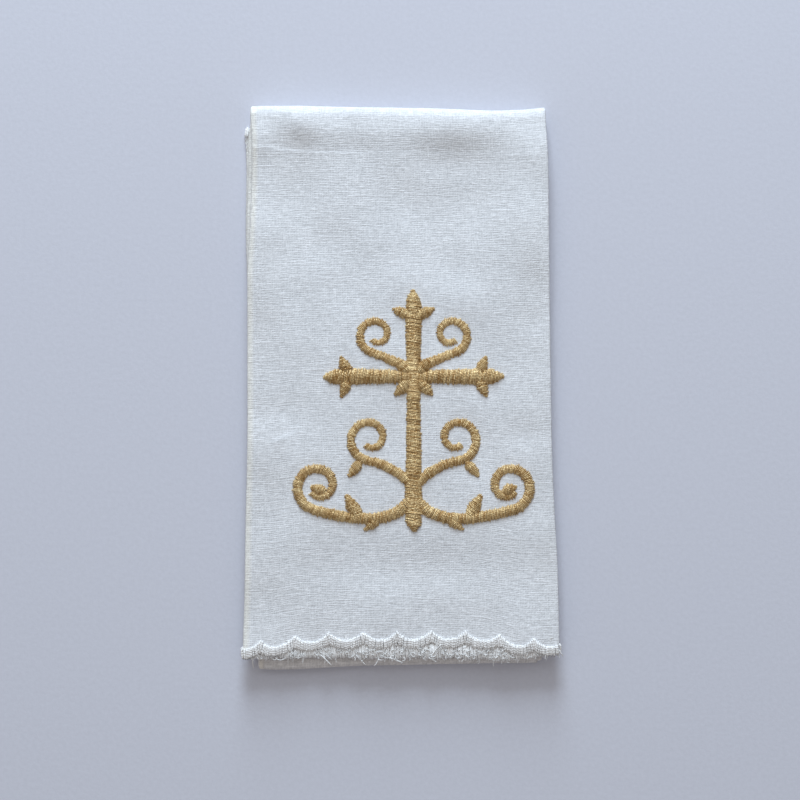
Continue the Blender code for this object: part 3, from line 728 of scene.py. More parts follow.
    def scallop(self, u):
        """0 at a cusp and 1 at the lowest point of a scallop; the power makes its cusps pointed."""
        part = np.mod(np.asarray(u) / self.pitch + SCALLOP_PHASE, 1.0)
        return 1.0 - np.abs(2.0 * part - 1.0) ** SCALLOP_POINTED

    def tucked_share(self, u):
        """0 on the other plies and 1 on the tucked ply."""
        return smooth((np.asarray(u) - self.right_turn) / TUCKED_CHANGE)

    def edge_line(self, u):
        """Distance of the cut edge from the scallops' lowest line.

        It is a depth times one less the scallop, and smaller on the tucked ply.
        """
        return EDGE_DEPTH * (1.0 - self.scallop(u)) * (1.0 - TUCKED_STRAIGHTER * self.tucked_share(u))

    def band_line(self, u):
        """Distance of the satin band's inner line from the scallops' lowest line.

        It is a width, and a depth times one less the scallop, and more on the tucked ply.
        """
        return BAND_WIDTH + BAND_DEPTH * (1.0 - self.scallop(u)) + TUCKED_WIDER * self.tucked_share(u)


def to_model(points):
    """Drawing millimetres to the model's metres."""
    return (np.asarray(points) - (CENTRE_X, CENTRE_Y, 0.0)) * MM


def new_mesh_object(name, points, corners, sizes):
    """A mesh object from points, the corners of its faces in a row, and each face's corner count."""
    mesh = bpy.data.meshes.new(name)
    mesh.vertices.add(len(points))
    mesh.vertices.foreach_set("co", np.ascontiguousarray(points, dtype=np.float32).ravel())
    mesh.loops.add(len(corners))
    mesh.loops.foreach_set("vertex_index", np.ascontiguousarray(corners, dtype=np.int32))
    mesh.polygons.add(len(sizes))
    starts = np.concatenate(([0], np.cumsum(sizes)[:-1]))
    mesh.polygons.foreach_set("loop_start", np.ascontiguousarray(starts, dtype=np.int32))
    mesh.update(calc_edges=True)
    mesh.validate()
    mesh.polygons.foreach_set("use_smooth", np.ones(len(mesh.polygons), dtype=bool))
    piece = bpy.data.objects.new(name, mesh)
    bpy.context.scene.collection.objects.link(piece)
    return piece


def tube_piece(name, lines, side, rise, tones, sides):
    """Many closed tubes as one mesh.

    Each tube is a ring carried along its line: a point of the ring is the line's point, plus cosine times
    the side vector, plus sine times the rise vector. Flat ends close it. Every point keeps its tube's tone,
    and how far along the tube it is.
    """
    count, stations = lines.shape[:2]
    turn = np.arange(sides) * 2.0 * math.pi / sides
    ring = (lines[:, :, None, :] + side[:, :, None, :] * np.cos(turn)[:, None]
            + rise[:, :, None, :] * np.sin(turn)[:, None])
    index = np.arange(count * stations * sides).reshape(count, stations, sides)
    after = np.roll(index, -1, axis=2)
    walls = np.stack((index[:, :-1], after[:, :-1], after[:, 1:], index[:, 1:]), axis=-1).reshape(-1)
    ends = np.concatenate((index[:, 0, ::-1].reshape(-1), index[:, -1].reshape(-1)))
    sizes = np.concatenate((np.full(len(walls) // 4, 4), np.full(2 * count, sides)))
    piece = new_mesh_object(name, to_model(ring.reshape(-1, 3)), np.concatenate((walls, ends)), sizes)
    tone = np.repeat(np.asarray(tones), stations * sides)
    along = np.tile(np.repeat(np.linspace(0.0, 1.0, stations), sides), count)
    for label, values in (("tone", tone), ("along", along)):
        layer = piece.data.attributes.new(label, "FLOAT", "POINT")
        layer.data.foreach_set("value", values.astype(np.float32))
    return piece


def tube_frame(lines, outward, width, height):
    """Side and rise vectors of tubes whose rise leans outward from the cloth."""
    heading = unit(np.gradient(lines, axis=1))
    side = unit(np.cross(outward, heading))
    rise = unit(np.cross(heading, side))
    return side * np.asarray(width)[..., None], rise * np.asarray(height)[..., None]


def finish_piece(piece, material, slot, *nodes):
    """Gives a piece its material and body, and hides the parts that it stands for. The slot is not used."""
    piece.data.materials.append(material)
    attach(piece, BODY)
    if nodes:
        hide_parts(*nodes)


class Shading:
    """Short ways to build the nodes of a material or of the world."""

    def __init__(self, owner, last="Principled BSDF"):
        owner.use_nodes = True
        self.owner = owner
        self.tree = owner.node_tree
        self.last = self.tree.nodes[last]

    def fill(self, node, inputs):
        """Gives a node's inputs their values, or links them."""
        for name, value in inputs.items():
            if isinstance(value, bpy.types.NodeSocket):
                self.tree.links.new(value, node.inputs[name])
            else:
                node.inputs[name].default_value = value

    def finish(self, inputs):
        """Fills the last node, and gives back the material or world."""
        self.fill(self.last, inputs)
        return self.owner

    def node(self, kind, inputs=None, **values):
        """A node of a kind, with its inputs and its other values."""
        made = self.tree.nodes.new(kind)
        for name, value in values.items():
            setattr(made, name, value)
        self.fill(made, inputs or {})
        return made

    def maths(self, operation, *values):
        """The outcome of one sum."""
        return self.node("ShaderNodeMath", dict(enumerate(values)), operation=operation).outputs[0]

    def noise(self, vector, scale, detail, roughness):
        """Soft noise between 0 and 1."""
        inputs = {"Vector": vector, "Scale": scale, "Detail": detail, "Roughness": roughness}
        return self.node("ShaderNodeTexNoise", inputs).outputs["Fac"]

    def ramp(self, value, stops):
        """Colours over a value, straight between the stops."""
        made = self.node("ShaderNodeValToRGB", {"Fac": value})
        elements = made.color_ramp.elements
        while len(elements) < len(stops):
            elements.new(0.5)
        for element, (place, colour) in zip(elements, stops):
            element.position = place
            element.color = (*colour, 1.0)
        return made.outputs["Color"]

    def multiply(self, share, first, second):
        """The first colour times the second one, by a share."""
        inputs = {"Factor": share, "A": first, "B": second}
        return self.node("ShaderNodeMix", inputs, data_type="RGBA", blend_type="MULTIPLY").outputs["Result"]

    def bump(self, height, strength, distance):
        """The look of a rough surface from its height."""
        inputs = {"Strength": strength, "Distance": distance, "Height": height}
        return self.node("ShaderNodeBump", inputs).outputs["Normal"]


def darker(colour, share):
    """A colour times a share."""
    return tuple(share * part for part in colour)


def grey(value):
    """A colour of three equal parts."""
    return (value, value, value)


# The weft is a little coarser than the warp
WEFT_WIDER = 1.08

# Painted shade along the low fold, darker and warmer, and a painted highlight along the left fold, lighter
# and creamier: their tones, and their reach to each side
LOW_FOLD_PAINTED_SHADE = (0.98, 0.93, 0.89)
LOW_FOLD_SHADE_REACH = 0.0042
LEFT_FOLD_PAINTED_HIGHLIGHT = (1.10, 1.07, 0.99)
LEFT_FOLD_HIGHLIGHT_REACH = 0.0011


def linen_material(linen, left_u, low_v):
    """Plain woven linen: uneven yarns over and under each other, slubs along the weft, painted shade and a
    painted highlight at two folds.
    """
    made = Shading(bpy.data.materials.new("linen"))
    maths = made.maths
    flat = made.node("ShaderNodeUVMap", uv_map="flat").outputs["UV"]
    flat_u, flat_v, _ = made.node("ShaderNodeSeparateXYZ", {0: flat}).outputs

    def uneven(scale_u, scale_v, detail, roughness):
        """Noise over the flat cloth, at its own scale each way."""
        scaled = made.node("ShaderNodeMapping", {"Vector": flat, "Scale": (scale_u, scale_v, 1.0)})
        return made.noise(scaled.outputs["Vector"], 1.0, detail, roughness)

    def wander(scale_u, scale_v, amount):
        """How far yarns stray from their places, in pitches: slow along them and quick across them."""
        return maths("MULTIPLY", maths("SUBTRACT", uneven(scale_u, scale_v, 3.0, 0.5), 0.5), amount)

    def yarn(across, along, turn, thickness):
        """A yarn's round top times its rise over every other crossing, and its thickness."""
        round_top = maths("ABSOLUTE", maths("SINE", maths("MULTIPLY", across, math.pi)))
        count = maths("ADD", maths("FLOOR", across), turn)
        phase = maths("MULTIPLY", maths("ADD", along, count), math.pi)
        rise = maths("MULTIPLY_ADD", maths("COSINE", phase), 0.16, 0.84)
        return maths("MULTIPLY", maths("MULTIPLY", round_top, rise), thickness)

    pitch = linen.yarn_pitch
    warp = maths("ADD", maths("DIVIDE", flat_u, pitch), wander(800.0, 120.0, 2.6))
    weft = maths("ADD", maths("DIVIDE", flat_v, pitch * WEFT_WIDER), wander(90.0, 700.0, 3.0))
    slub = uneven(330.0, 1500.0, 3.0, 0.6)
    fine_slub = uneven(700.0, 2700.0, 2.0, 0.5)
    upright = uneven(2300.0, 480.0, 3.0, 0.6)
    cloudy = uneven(55.0, 75.0, 3.0, 0.55)
    weft_yarn = yarn(weft, warp, 1.0, maths("MULTIPLY_ADD", fine_slub, 0.9, 0.55))
    warp_yarn = yarn(warp, weft, 0.0, maths("MULTIPLY_ADD", upright, 0.8, 0.45))
    weave = maths("MAXIMUM", weft_yarn, warp_yarn)

    colour = made.ramp(slub, ((0.32, grey(0.89)), (0.50, grey(0.985)), (0.68, grey(1.07))))
    # Three more layers of uneven tone; the last one, from the weave, is painted shade, darker in the gaps
    # where the yarns lie low
    for share, value, low, dark, high, light in (
            (0.80, fine_slub, 0.36, 0.90, 0.64, 1.07), (0.75, upright, 0.36, 0.90, 0.64, 1.07),
            (0.75, cloudy, 0.36, 0.95, 0.64, 1.03), (0.65, weave, 0.20, 0.82, 0.85, 1.05)):
        colour = made.multiply(share, colour, made.ramp(value, ((low, grey(dark)), (high, grey(light)))))
    colour = made.multiply(1.0, colour, (*linen.colour, 1.0))
    # Painted shade along the low fold, and a painted highlight along the left fold
    for place, fold, reach, tone in ((flat_v, low_v, LOW_FOLD_SHADE_REACH, LOW_FOLD_PAINTED_SHADE),
                                     (flat_u, left_u, LEFT_FOLD_HIGHLIGHT_REACH, LEFT_FOLD_PAINTED_HIGHLIGHT)):
        away = maths("DIVIDE", maths("ABSOLUTE", maths("SUBTRACT", place, fold)), 2.0 * reach)
        colour = made.multiply(1.0, colour, made.ramp(away, ((0.5, tone), (1.0, grey(1.0)))))

    height = maths("MULTIPLY_ADD", slub, 1.2, maths("MULTIPLY", fine_slub, 0.6))
    height = maths("ADD", weave, maths("MULTIPLY_ADD", upright, 0.9, height))
    return made.finish({"Base Color": colour, "Normal": made.bump(height, 0.75, 0.00010), "Roughness": 0.88,
                        "Specular IOR Level": 0.25, "Sheen Weight": 0.12, "Sheen Roughness": 0.5})


# Threads: roughness, metal, contrast along a thread, and how much one thread differs from the next
THREADS = {
    "white_satin": (0.55, 0.0, 0.3, 0.9),
    "white_yarn": (0.7, 0.0, 0.4, 0.5),
    "gold_thread": (0.34, 0.35, 0.85, 0.42),
    "gold_padding": (0.6, 0.1, 0.5, 0.25),
}


def thread_material(name, light, dark):
    """Twisted thread: dashes of light and dark run along each thread; on gold, own tone mixed with painted
    glints and shade.
    """
    roughness, metal, contrast, spread = THREADS[name]
    made = Shading(bpy.data.materials.new(name))
    maths = made.maths
    tone, along = (made.node("ShaderNodeAttribute", attribute_name=label).outputs["Fac"]
                   for label in ("tone", "along"))
    place = made.node("ShaderNodeTexCoord").outputs["Object"]
    run, own = maths("MULTIPLY", along, 6.0), maths("MULTIPLY", tone, 977.0)
    dashes = made.noise(made.node("ShaderNodeCombineXYZ", {0: run, 1: own}).outputs[0], 1.0, 3.0, 0.6)
    speck = made.noise(place, 2600.0, 2.0, 0.6)
    blotch = made.noise(place, 260.0, 2.0, 0.5)
    value = 0.5
    shares = ((dashes, 1.7 * contrast), (speck, contrast), (blotch, 0.6 * contrast), (tone, spread))
    for part, share in shares:
        value = maths("MULTIPLY_ADD", maths("SUBTRACT", part, 0.5), share, value)
    middle = tuple(0.55 * a + 0.45 * b for a, b in zip(dark, light))
    twist = maths("SINE", maths("MULTIPLY_ADD", along, 60.0, maths("MULTIPLY", tone, 40.0)))
    return made.finish({"Base Color": made.ramp(value, ((0.15, dark), (0.50, middle), (0.85, light))),
                        "Normal": made.bump(maths("ADD", twist, speck), 0.5, 0.00006),
                        "Roughness": roughness, "Metallic": metal, "Sheen Weight": 0.10})


# The sheet's grid: columns, rows of each span, columns added at the folds, and the scallops' fade
SHEET_COLUMNS = 181
SPAN_ROWS = (42, 16, 58, 15, 8, 12, 28, 9, 50)
FOLD_SPREAD = (-0.4, 2.4)
FOLD_COLUMNS = 8
LEAST_COLUMN = 0.12
SCALLOP_FADE = 6.0


def cloth_grid(cloth):
    """Flat places of the sheet's points: even columns, and rows that are closest at the pressed-in lines.

    The rows next to an end follow its scalloped line, which fades out over a few millimetres.
    """
    columns = np.linspace(-cloth.width / 2.0, cloth.width / 2.0, SHEET_COLUMNS)
    folds = [start + np.linspace(*FOLD_SPREAD, FOLD_COLUMNS) for start in cloth.turn_starts]
    columns = np.unique(np.round(np.concatenate((columns, *folds)), 4))
    columns = columns[np.concatenate(([True], np.diff(columns) > LEAST_COLUMN))]
    stops = (0.0, cloth.crease_start, cloth.crease_end, cloth.press_start, cloth.press_end, cloth.top_start,
             cloth.top_end, cloth.low_start, cloth.low_end, cloth.length)
    rows = np.concatenate([np.linspace(start, end, count, endpoint=False)
                           for start, end, count in zip(stops, stops[1:], SPAN_ROWS)] + [[cloth.length]])
    u, v = np.meshgrid(columns, rows, indexing="xy")
    line = cloth.edge_line(u)
    front = np.clip(1.0 - v / SCALLOP_FADE, 0.0, 1.0)
    back = np.clip(1.0 - (cloth.length - v) / SCALLOP_FADE, 0.0, 1.0)
    return u, v + line * front - line * back


def make_linen(linen):
    """The folded sheet, its thickness given by Solidify."""
    cloth = FoldedCloth(linen)
    u, v = cloth_grid(cloth)
    rows, columns = u.shape
    points = to_model(cloth.place(u, v).reshape(-1, 3))
    index = np.arange(rows * columns).reshape(rows, columns)
    quads = np.stack((index[:-1, :-1], index[:-1, 1:], index[1:, 1:], index[1:, :-1]), axis=-1).reshape(-1)
    piece = new_mesh_object("linen_sheet", points, quads, np.full(len(quads) // 4, 4))
    flat = np.stack((u, v), axis=-1).reshape(-1, 2) * MM
    layer = piece.data.uv_layers.new(name="flat")
    corners = np.empty(len(piece.data.loops), dtype=np.int32)
    piece.data.loops.foreach_get("vertex_index", corners)
    layer.data.foreach_set("uv", flat[corners].astype(np.float32).ravel())
    wall = piece.modifiers.new("thickness", "SOLIDIFY")
    wall.thickness = linen.thickness
    wall.offset = 0.0
    low_v = (cloth.low_start + cloth.low_end) / 2.0 * MM
    finish_piece(piece, linen_material(linen, cloth.left_turn * MM, low_v), "white_linen", "folded_cloth")


# How the white stitches stray and lean: places, heads, tips and lean in millimetres, the rest by shares
PLACE_STRAY = 0.04
HEAD_STRAY = 0.08
TIP_STRAY = 0.15
TIP_PAST = 0.16
STATION_STRAY = 0.05
LEAN_STRAY = 0.05
LEAN_SHARE = -0.22

# How the loft strays and waves along the edge, both by share, and the wave's radians in a millimetre
LOFT_STRAY = 0.10
LOFT_WAVE = 0.08
LOFT_TURN = 1.1


def band_threads(cloth, edge, end, draw):
    """White stitches of one end: each has a raised head on the band's inner line, and wraps the edge.

    A stitch goes from head to tip by the shares of its table, leans part of the way to square with the inner
    line, and stands out from the linen by its table's distances times its loft.
    """
    pitch = edge.thread_pitch / MM
    radius = edge.thread_width / MM / 2.0
    half_width = cloth.width / 2.0
    stitch = by_column(STITCHES, STITCH_COLUMNS)
    share = stitch["share"]
    u = np.arange(-half_width + pitch, half_width - pitch, pitch)
    count = len(u)
    u = u + draw.normal(0.0, PLACE_STRAY, count)
    step = 0.05
    slope = (cloth.band_line(u + step) - cloth.band_line(u - step)) / (2.0 * step)
    heads = cloth.band_line(u) + draw.normal(0.0, HEAD_STRAY, count)
    tips = cloth.edge_line(u) - TIP_PAST + draw.normal(0.0, TIP_STRAY, count)
    middle = np.sin(math.pi * share)
    part = share + draw.normal(0.0, STATION_STRAY, count)[:, None] * middle
    v = heads[:, None] + (tips - heads)[:, None] * part
    lean = LEAN_SHARE * slope[:, None] * (v - heads[:, None])
    lean = lean + draw.normal(0.0, LEAN_STRAY, count)[:, None] * share
    places_u = np.clip(u[:, None] + lean, -half_width, half_width)
    loft = 1.0 + LOFT_STRAY * draw.normal(size=count) + LOFT_WAVE * np.sin(u * LOFT_TURN)
    if end == "back":
        v = cloth.length - v
    lines = cloth.place(places_u, v, stitch["off"] * loft[:, None])
    lines[..., 2] = np.maximum(lines[..., 2], radius)
    widths = np.broadcast_to(radius * stitch["size"], v.shape)
    side, rise = tube_frame(lines, cloth.outward(places_u, v, np.zeros_like(v)), widths, widths)
    return lines, side, rise, draw.uniform(0.0, 1.0, count)


def make_edge(linen, edge):
    """The satin edge of both ends: stitches side by side along the scallops."""
    cloth = FoldedCloth(linen)
    draw = np.random.default_rng(5)
    light = tuple(edge.colour)
    material = thread_material("white_satin", light, darker(light, 0.90))
    for end in ("front", "back"):
        piece = tube_piece("edge_satin_" + end, *band_threads(cloth, edge, end, draw), ROUND_SIDES)
        finish_piece(piece, material, "white_linen")


LOOSE_STATIONS = 9
CURL_LEVEL = 0.60
CURL_REACH = (-0.1, 3.3)
LENGTH_SHAPE = 2.0
LOOSE_TONES = (0.4, 1.0)
FRAY_WAVE = 0.10
FRAY_WAVES = 7.0
FRAY_TAPER = 0.25

# Loose ends by chance: root, least length, spread of length, heading, curl, heights, radius, and its taper
FUZZ = {"inset": 0.1, "root": 0.3, "least": 0.35, "spread": 0.30, "turn": (-90.0, 38.0), "curl": 45.0,
        "tip": (-0.9, 0.5), "radius": (0.09, 0.15), "taper": 0.35}
CURLS = {"least": 0.5, "spread": 0.28, "turn": (0.0, 360.0), "curl": 170.0, "arch": (0.0, 0.30),
         "radius": (0.08, 0.13)}


def walk(x, y, turn, curl, length):
    """Lines that leave their places under headings that turn evenly along them: x, y and share run."""
    share = np.linspace(0.0, 1.0, LOOSE_STATIONS)
    angle = np.radians(turn[:, None] + curl[:, None] * share)
    step = (length / (LOOSE_STATIONS - 1))[:, None]
    x = x[:, None] + np.cumsum(np.cos(angle) * step, axis=1)
    y = y[:, None] + np.cumsum(np.sin(angle) * step, axis=1)
    return x, y, share


def long_frays():
    """The long loose ends from their table, turning lines between two heights, with a faint sine."""
    fray = by_column(FRAYS, FRAY_COLUMNS)
    x, y, share = walk(fray["x"], fray["y"], fray["turn"], fray["curl"], fray["length"])
    z = fray["start"][:, None] + (fray["end"] - fray["start"])[:, None] * share
    z = z + FRAY_WAVE * np.sin(share * FRAY_WAVES + fray["x"][:, None])
    return np.stack((x, y, z), axis=-1), fray["width"][:, None] / 2.0 * (1.0 - FRAY_TAPER * share)


def short_fuzz(cloth, count, draw):
    """Short loose ends on the tips of all three plies of the front edge, most of them pointing outwards."""
    u = draw.uniform(-cloth.width / 2.0, cloth.width / 2.0, count)
    start = cloth.place(u, cloth.edge_line(u) + FUZZ["inset"], np.zeros(count))
    length = FUZZ["least"] + draw.gamma(LENGTH_SHAPE, FUZZ["spread"], count)
    turn, curl = draw.normal(*FUZZ["turn"], count), draw.normal(0.0, FUZZ["curl"], count)
    x, y, share = walk(start[:, 0], start[:, 1], turn, curl, length)
    z = start[:, 2:3] + FUZZ["root"] + draw.uniform(*FUZZ["tip"], count)[:, None] * share
    radius = draw.uniform(*FUZZ["radius"], count)[:, None] * (1.0 - FUZZ["taper"] * share)
    return np.stack((x, y, z), axis=-1), radius


def band_curls(cloth, count, draw):
    """Curled ends of thread that lie over the tucked ply's satin, where it shows below the front edge."""
    u = draw.uniform(cloth.right_turn, cloth.width / 2.0, count)
    v = cloth.edge_line(u) + draw.uniform(*CURL_REACH, count)
    start = cloth.place(u, v, np.full(count, -CURL_LEVEL))
    length = CURLS["least"] + draw.gamma(LENGTH_SHAPE, CURLS["spread"], count)
    turn, curl = draw.uniform(*CURLS["turn"], count), draw.normal(0.0, CURLS["curl"], count)
    x, y, share = walk(start[:, 0], start[:, 1], turn, curl, length)
    z = start[:, 2:3] + draw.uniform(*CURLS["arch"], count)[:, None] * np.sin(math.pi * share)
    radius = draw.uniform(*CURLS["radius"], count)[:, None] * np.ones(LOOSE_STATIONS)
    return np.stack((x, y, z), axis=-1), radius


def make_loose_ends(linen, edge):
    """Frayed ends of the front edge: long ones, short fuzz, and curls over the tucked ply's edge."""
    cloth = FoldedCloth(linen)
    draw = np.random.default_rng(23)
    parts = (long_frays(), short_fuzz(cloth, edge.fuzz, draw), band_curls(cloth, edge.curls, draw))
    lines, widths = (np.concatenate(values) for values in zip(*parts))
    lines[..., 2] = np.maximum(lines[..., 2], widths)
    side, rise = tube_frame(lines, UP, widths, widths)
    tones = draw.uniform(*LOOSE_TONES, len(lines))
    piece = tube_piece("edge_loose_ends", lines, side, rise, tones, ROUND_SIDES)
    light = tuple(edge.colour)
    finish_piece(piece, thread_material("white_yarn", light, darker(light, 0.80)), "white_linen")


# The padding: stations, share of the stitches' height, lift, margin, half widths, least height, and a dark
# tone that paints shade
PADDING_STATIONS = 40
PADDING_SHARE = 0.62
PADDING_LIFT = 0.02
PADDING_MARGIN = 0.22
PADDING_LEAST = 0.12
PADDING_FULL = 1.2
PADDING_LOW = 0.35
PADDING_SHADE_TONE = 0.1


def stroke_padding(cloth, strokes, gold):
    """Padding below the stitches of each stroke: a low rounded ribbon along its middle line."""
    lines, widths, heights = [], [], []
    for line, width, lift in strokes:
        index = np.arange(len(line))
        at = np.linspace(0, len(line) - 1, PADDING_STATIONS)
        x, y = read_line(at, index, line)
        half = np.interp(at, index, width) / 2.0
        lines.append(np.column_stack((x, y, cloth.front_height(x, y) + PADDING_LIFT)))
        widths.append(np.maximum(half - PADDING_MARGIN, PADDING_LEAST))
        full = np.clip(half / PADDING_FULL, PADDING_LOW, 1.0)
        heights.append((gold.height / MM * PADDING_SHARE + lift) * full)
    lines = np.array(lines)
    return lines, *tube_frame(lines, UP, np.array(widths), np.array(heights))


# Gold stitches: stations across a stroke, slant, sink of both ends, and half width at which they stand full
GOLD_STATIONS = np.array((-1.0, -0.93, -0.66, -0.24, 0.24, 0.66, 0.93, 1.0))
GOLD_SIZES = np.array((0.75, 1.0, 1.0, 1.0, 1.0, 1.0, 1.0, 0.75))
GOLD_SLANT = math.radians(9.0)
GOLD_SINK = 0.22
GOLD_FULL = 1.3

# The first and last stitch of a stroke, where a dome ends, and the least and full share of a crown
GOLD_FIRST = 0.06
GOLD_LAST = 0.02
GOLD_DOME_END = 0.98
GOLD_LOW = 0.45
GOLD_HIGH = 1.15

# How the gold stitches stray: places, slant, ends, height and tone
GOLD_STRAY = {"place": 0.03, "slant": 0.035, "end": 0.12, "height": 0.05, "tone": 0.22}


def gold_threads(cloth, strokes, gold, draw):
    """Gold stitches: each thread crosses its stroke from edge to edge, domed over the padding.

    Its height over the linen is the square root of one less the square of its distance from the middle line,
    and both ends dive into the linen.
    """
    pitch = gold.thread_pitch / MM
    radius = gold.thread_width / MM / 2.0
    share = GOLD_STATIONS
    dome = np.sqrt(1.0 - np.minimum(np.abs(share), GOLD_DOME_END) ** 2)
    all_lines, all_tones = [], []
    for line, width, lift in strokes:
        run = run_along(line)
        at = np.arange(GOLD_FIRST, run[-1] - GOLD_LAST, pitch)

        def stray(kind):
            """A chance number for each stitch of the stroke."""
            return draw.normal(0.0, GOLD_STRAY[kind], len(at))

        at = np.clip(at + stray("place"), 0.0, run[-1])
        middle = np.column_stack(read_line(at, run, line))
        heading = unit(np.column_stack(read_line(at, run, unit(np.gradient(line, axis=0)))))
        slant = GOLD_SLANT + stray("slant")
        across = np.column_stack((-heading[:, 1] * np.cos(slant) + heading[:, 0] * np.sin(slant),
                                  heading[:, 0] * np.cos(slant) + heading[:, 1] * np.sin(slant)))
        half = np.interp(at, run, width) / 2.0
        left = half + stray("end")
        right = half + stray("end")
        reach = np.where(share[None, :] < 0.0, left[:, None], right[:, None]) * share
        places = middle[:, None, :] + across[:, None, :] * reach[:, :, None]
        crown = gold.height / MM * np.clip(half / GOLD_FULL, GOLD_LOW, GOLD_HIGH) + lift
        crown = crown * (1.0 + stray("height"))
        z = cloth.front_height(places[..., 0], places[..., 1]) + crown[:, None] * dome - radius
        z[:, (0, -1)] -= GOLD_SINK
        all_lines.append(np.concatenate((places, z[..., None]), axis=-1))
        all_tones.append(np.clip(0.5 + stray("tone"), 0.0, 1.0))
    lines = np.concatenate(all_lines)
    sizes = np.broadcast_to(radius * GOLD_SIZES, lines.shape[:2])
    return lines, *tube_frame(lines, UP, sizes, sizes), np.concatenate(all_tones)


def make_gold(linen, gold):
    """The gold embroidery: threads over a padding."""
    cloth = FoldedCloth(linen)
    strokes = gold_strokes()
    draw = np.random.default_rng(7)
    light, dark = tuple(gold.light_colour), tuple(gold.dark_colour)
    material = thread_material("gold_thread", light, dark)
    piece = tube_piece("gold_stitches", *gold_threads(cloth, strokes, gold, draw), ROUND_SIDES)
    finish_piece(piece, material, "gold_thread", "gold_embroidery")
    padding = stroke_padding(cloth, strokes, gold)
    tones = np.full(len(padding[0]), PADDING_SHADE_TONE)
    # The padding is a darker copy of the gold thread: painted shade between the stitches
    shaded = thread_material("gold_padding", darker(light, 0.45), dark)
    finish_piece(tube_piece("gold_padding", *padding, tones, RIBBON_SIDES), shaded, "gold_thread")


FLOOR_HALF = 0.7
CAMERA_DISTANCE = 0.45
CAMERA_TILT = 5.0
AIM_X = -0.35
AIM_Y = -0.2
PIXELS_PER_MM = 3.68
IMAGE_WIDTH = 800
SENSOR_WIDTH = 36.0

# The two soft lights: place, size and colour
WINDOW = ((-0.04, 1.03, 0.46), (0.36, 0.6), (0.76, 0.88, 1.0))
SKYLIGHT = ((-0.05, 0.75, 0.95), (0.9, 0.9), (0.80, 0.90, 1.0))

# Light from all round, level with the floor and from straight above
HORIZON = (0.30, 0.285, 0.28)
ZENITH = (1.0, 0.968, 0.965)


def floor_material(stage):
    """A plain pale matt surface with a faint grain."""
    made = Shading(bpy.data.materials.new("floor"))
    place = made.node("ShaderNodeTexCoord").outputs["Object"]
    grain = made.noise(place, 900.0, 3.0, 0.6)
    light = tuple(stage.floor_colour)
    colour = made.ramp(grain, ((0.3, darker(light, 0.95)), (0.7, light)))
    return made.finish({"Base Color": colour, "Normal": made.bump(grain, 0.15, 0.0002),
                        "Roughness": 0.9, "Specular IOR Level": 0.2})


def aim(item, target):
    """Turns a light or camera towards a point."""
    item.rotation_euler = (Vector(target) - item.location).to_track_quat("-Z", "Y").to_euler()


def soft_light(name, place, size, colour, power):
    """A rectangular area light that faces the cloth."""
    lamp = bpy.data.lights.new(name, "AREA")
    lamp.shape = "RECTANGLE"
    lamp.size, lamp.size_y = size
    lamp.energy = power
    lamp.color = colour
    light = bpy.data.objects.new(name, lamp)
    light.location = place
    bpy.context.scene.collection.objects.link(light)
    aim(light, (0.0, 0.0, 0.0))


def make_stage(stage):
    """Floor, two soft lights, light from all round, and the camera at the photograph's angle."""
    corners = FLOOR_HALF * np.array(((-1, -1, 0), (1, -1, 0), (1, 1, 0), (-1, 1, 0)), dtype=float)
    floor = new_mesh_object("floor", corners, np.arange(4), np.array([4]))
    floor.data.materials.append(floor_material(stage))

    soft_light("window", *WINDOW, stage.window_power)
    soft_light("skylight", *SKYLIGHT, stage.sky_power)

    room = Shading(bpy.data.worlds.new("room"), "Background")
    heading = room.node("ShaderNodeTexCoord").outputs["Generated"]
    height = room.node("ShaderNodeSeparateXYZ", {0: heading}).outputs[2]
    sky = room.ramp(height, ((0.0, HORIZON), (1.0, ZENITH)))
    bpy.context.scene.world = room.finish({"Color": sky, "Strength": stage.fill_strength})
    bpy.context.scene.view_settings.view_transform = "Standard"

    aim_point = to_model((AIM_X, AIM_Y, 0.0))
    tilt = math.radians(CAMERA_TILT)
    lens = bpy.data.cameras.new("camera")
    lens.sensor_width = SENSOR_WIDTH
    lens.lens = CAMERA_DISTANCE / MM * PIXELS_PER_MM * SENSOR_WIDTH / IMAGE_WIDTH
    lens.clip_start = 0.01
    camera = bpy.data.objects.new("camera", lens)
    camera.location = (aim_point[0], aim_point[1] - CAMERA_DISTANCE * math.sin(tilt),
                       CAMERA_DISTANCE * math.cos(tilt))
    bpy.context.scene.collection.objects.link(camera)
    camera.rotation_euler = (tilt, 0.0, 0.0)
    bpy.context.scene.camera = camera


class PURIFICATOR_OT_linen(bpy.types.Operator):
    """Makes the folded linen sheet"""

    bl_idname = "purificator.linen"
    bl_label = "Folded linen"

    def execute(self, context):
        make_linen(settings()[0])
        return {"FINISHED"}


class PURIFICATOR_OT_edge(bpy.types.Operator):
    """Makes the white satin edge"""

    bl_idname = "purificator.edge"
    bl_label = "Satin edge"

    def execute(self, context):
        make_edge(*settings()[:2])
        return {"FINISHED"}


class PURIFICATOR_OT_loose_ends(bpy.types.Operator):
    """Makes the frayed ends along the edge"""

    bl_idname = "purificator.loose_ends"
    bl_label = "Loose ends"

    def execute(self, context):
        make_loose_ends(*settings()[:2])
        return {"FINISHED"}


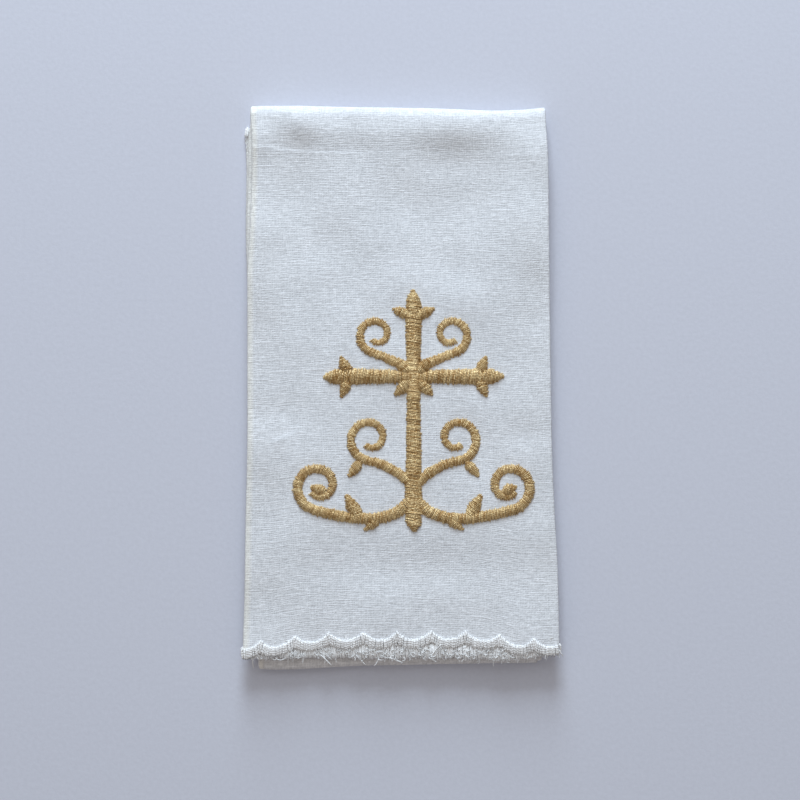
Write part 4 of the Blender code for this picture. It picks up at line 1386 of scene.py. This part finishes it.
class PURIFICATOR_OT_gold(bpy.types.Operator):
    """Makes the gold stitching"""

    bl_idname = "purificator.gold"
    bl_label = "Gold stitching"

    def execute(self, context):
        linen, _, gold, _ = settings()
        make_gold(linen, gold)
        return {"FINISHED"}


class PURIFICATOR_OT_stage(bpy.types.Operator):
    """Makes the floor, the light and the camera"""

    bl_idname = "purificator.stage"
    bl_label = "Floor, light and camera"

    def execute(self, context):
        make_stage(settings()[3])
        return {"FINISHED"}


class PURIFICATOR_PT_panel(bpy.types.Panel):
    """Lists the makers of the purificator's pieces"""

    bl_label = "Purificator"
    bl_idname = "PURIFICATOR_PT_panel"
    bl_space_type = "VIEW_3D"
    bl_region_type = "UI"
    bl_category = "Purificator"

    def draw(self, context):
        for group in settings():
            box = self.layout.box()
            for name in group.bl_rna.properties.keys():
                if name not in ("rna_type", "name"):
                    box.prop(group, name)
        for operator in OPERATORS:
            self.layout.operator(operator.bl_idname)


OPERATORS = (
    PURIFICATOR_OT_linen,
    PURIFICATOR_OT_edge,
    PURIFICATOR_OT_loose_ends,
    PURIFICATOR_OT_gold,
    PURIFICATOR_OT_stage,
)
GROUPS = {
    "purificator_linen": LinenSettings,
    "purificator_edge": EdgeSettings,
    "purificator_gold": GoldSettings,
    "purificator_stage": StageSettings,
}


def register():
    for group in GROUPS.values():
        bpy.utils.register_class(group)
    for name, group in GROUPS.items():
        setattr(bpy.types.Scene, name, bpy.props.PointerProperty(type=group))
    for operator in OPERATORS:
        bpy.utils.register_class(operator)
    bpy.utils.register_class(PURIFICATOR_PT_panel)


def unregister():
    bpy.utils.unregister_class(PURIFICATOR_PT_panel)
    for operator in reversed(OPERATORS):
        bpy.utils.unregister_class(operator)
    for name, group in reversed(GROUPS.items()):
        delattr(bpy.types.Scene, name)
        bpy.utils.unregister_class(group)


def main():
    register()
    bpy.ops.purificator.stage()
    bpy.ops.purificator.linen()
    bpy.ops.purificator.edge()
    bpy.ops.purificator.loose_ends()
    bpy.ops.purificator.gold()


if __name__ == "__main__":
    main()
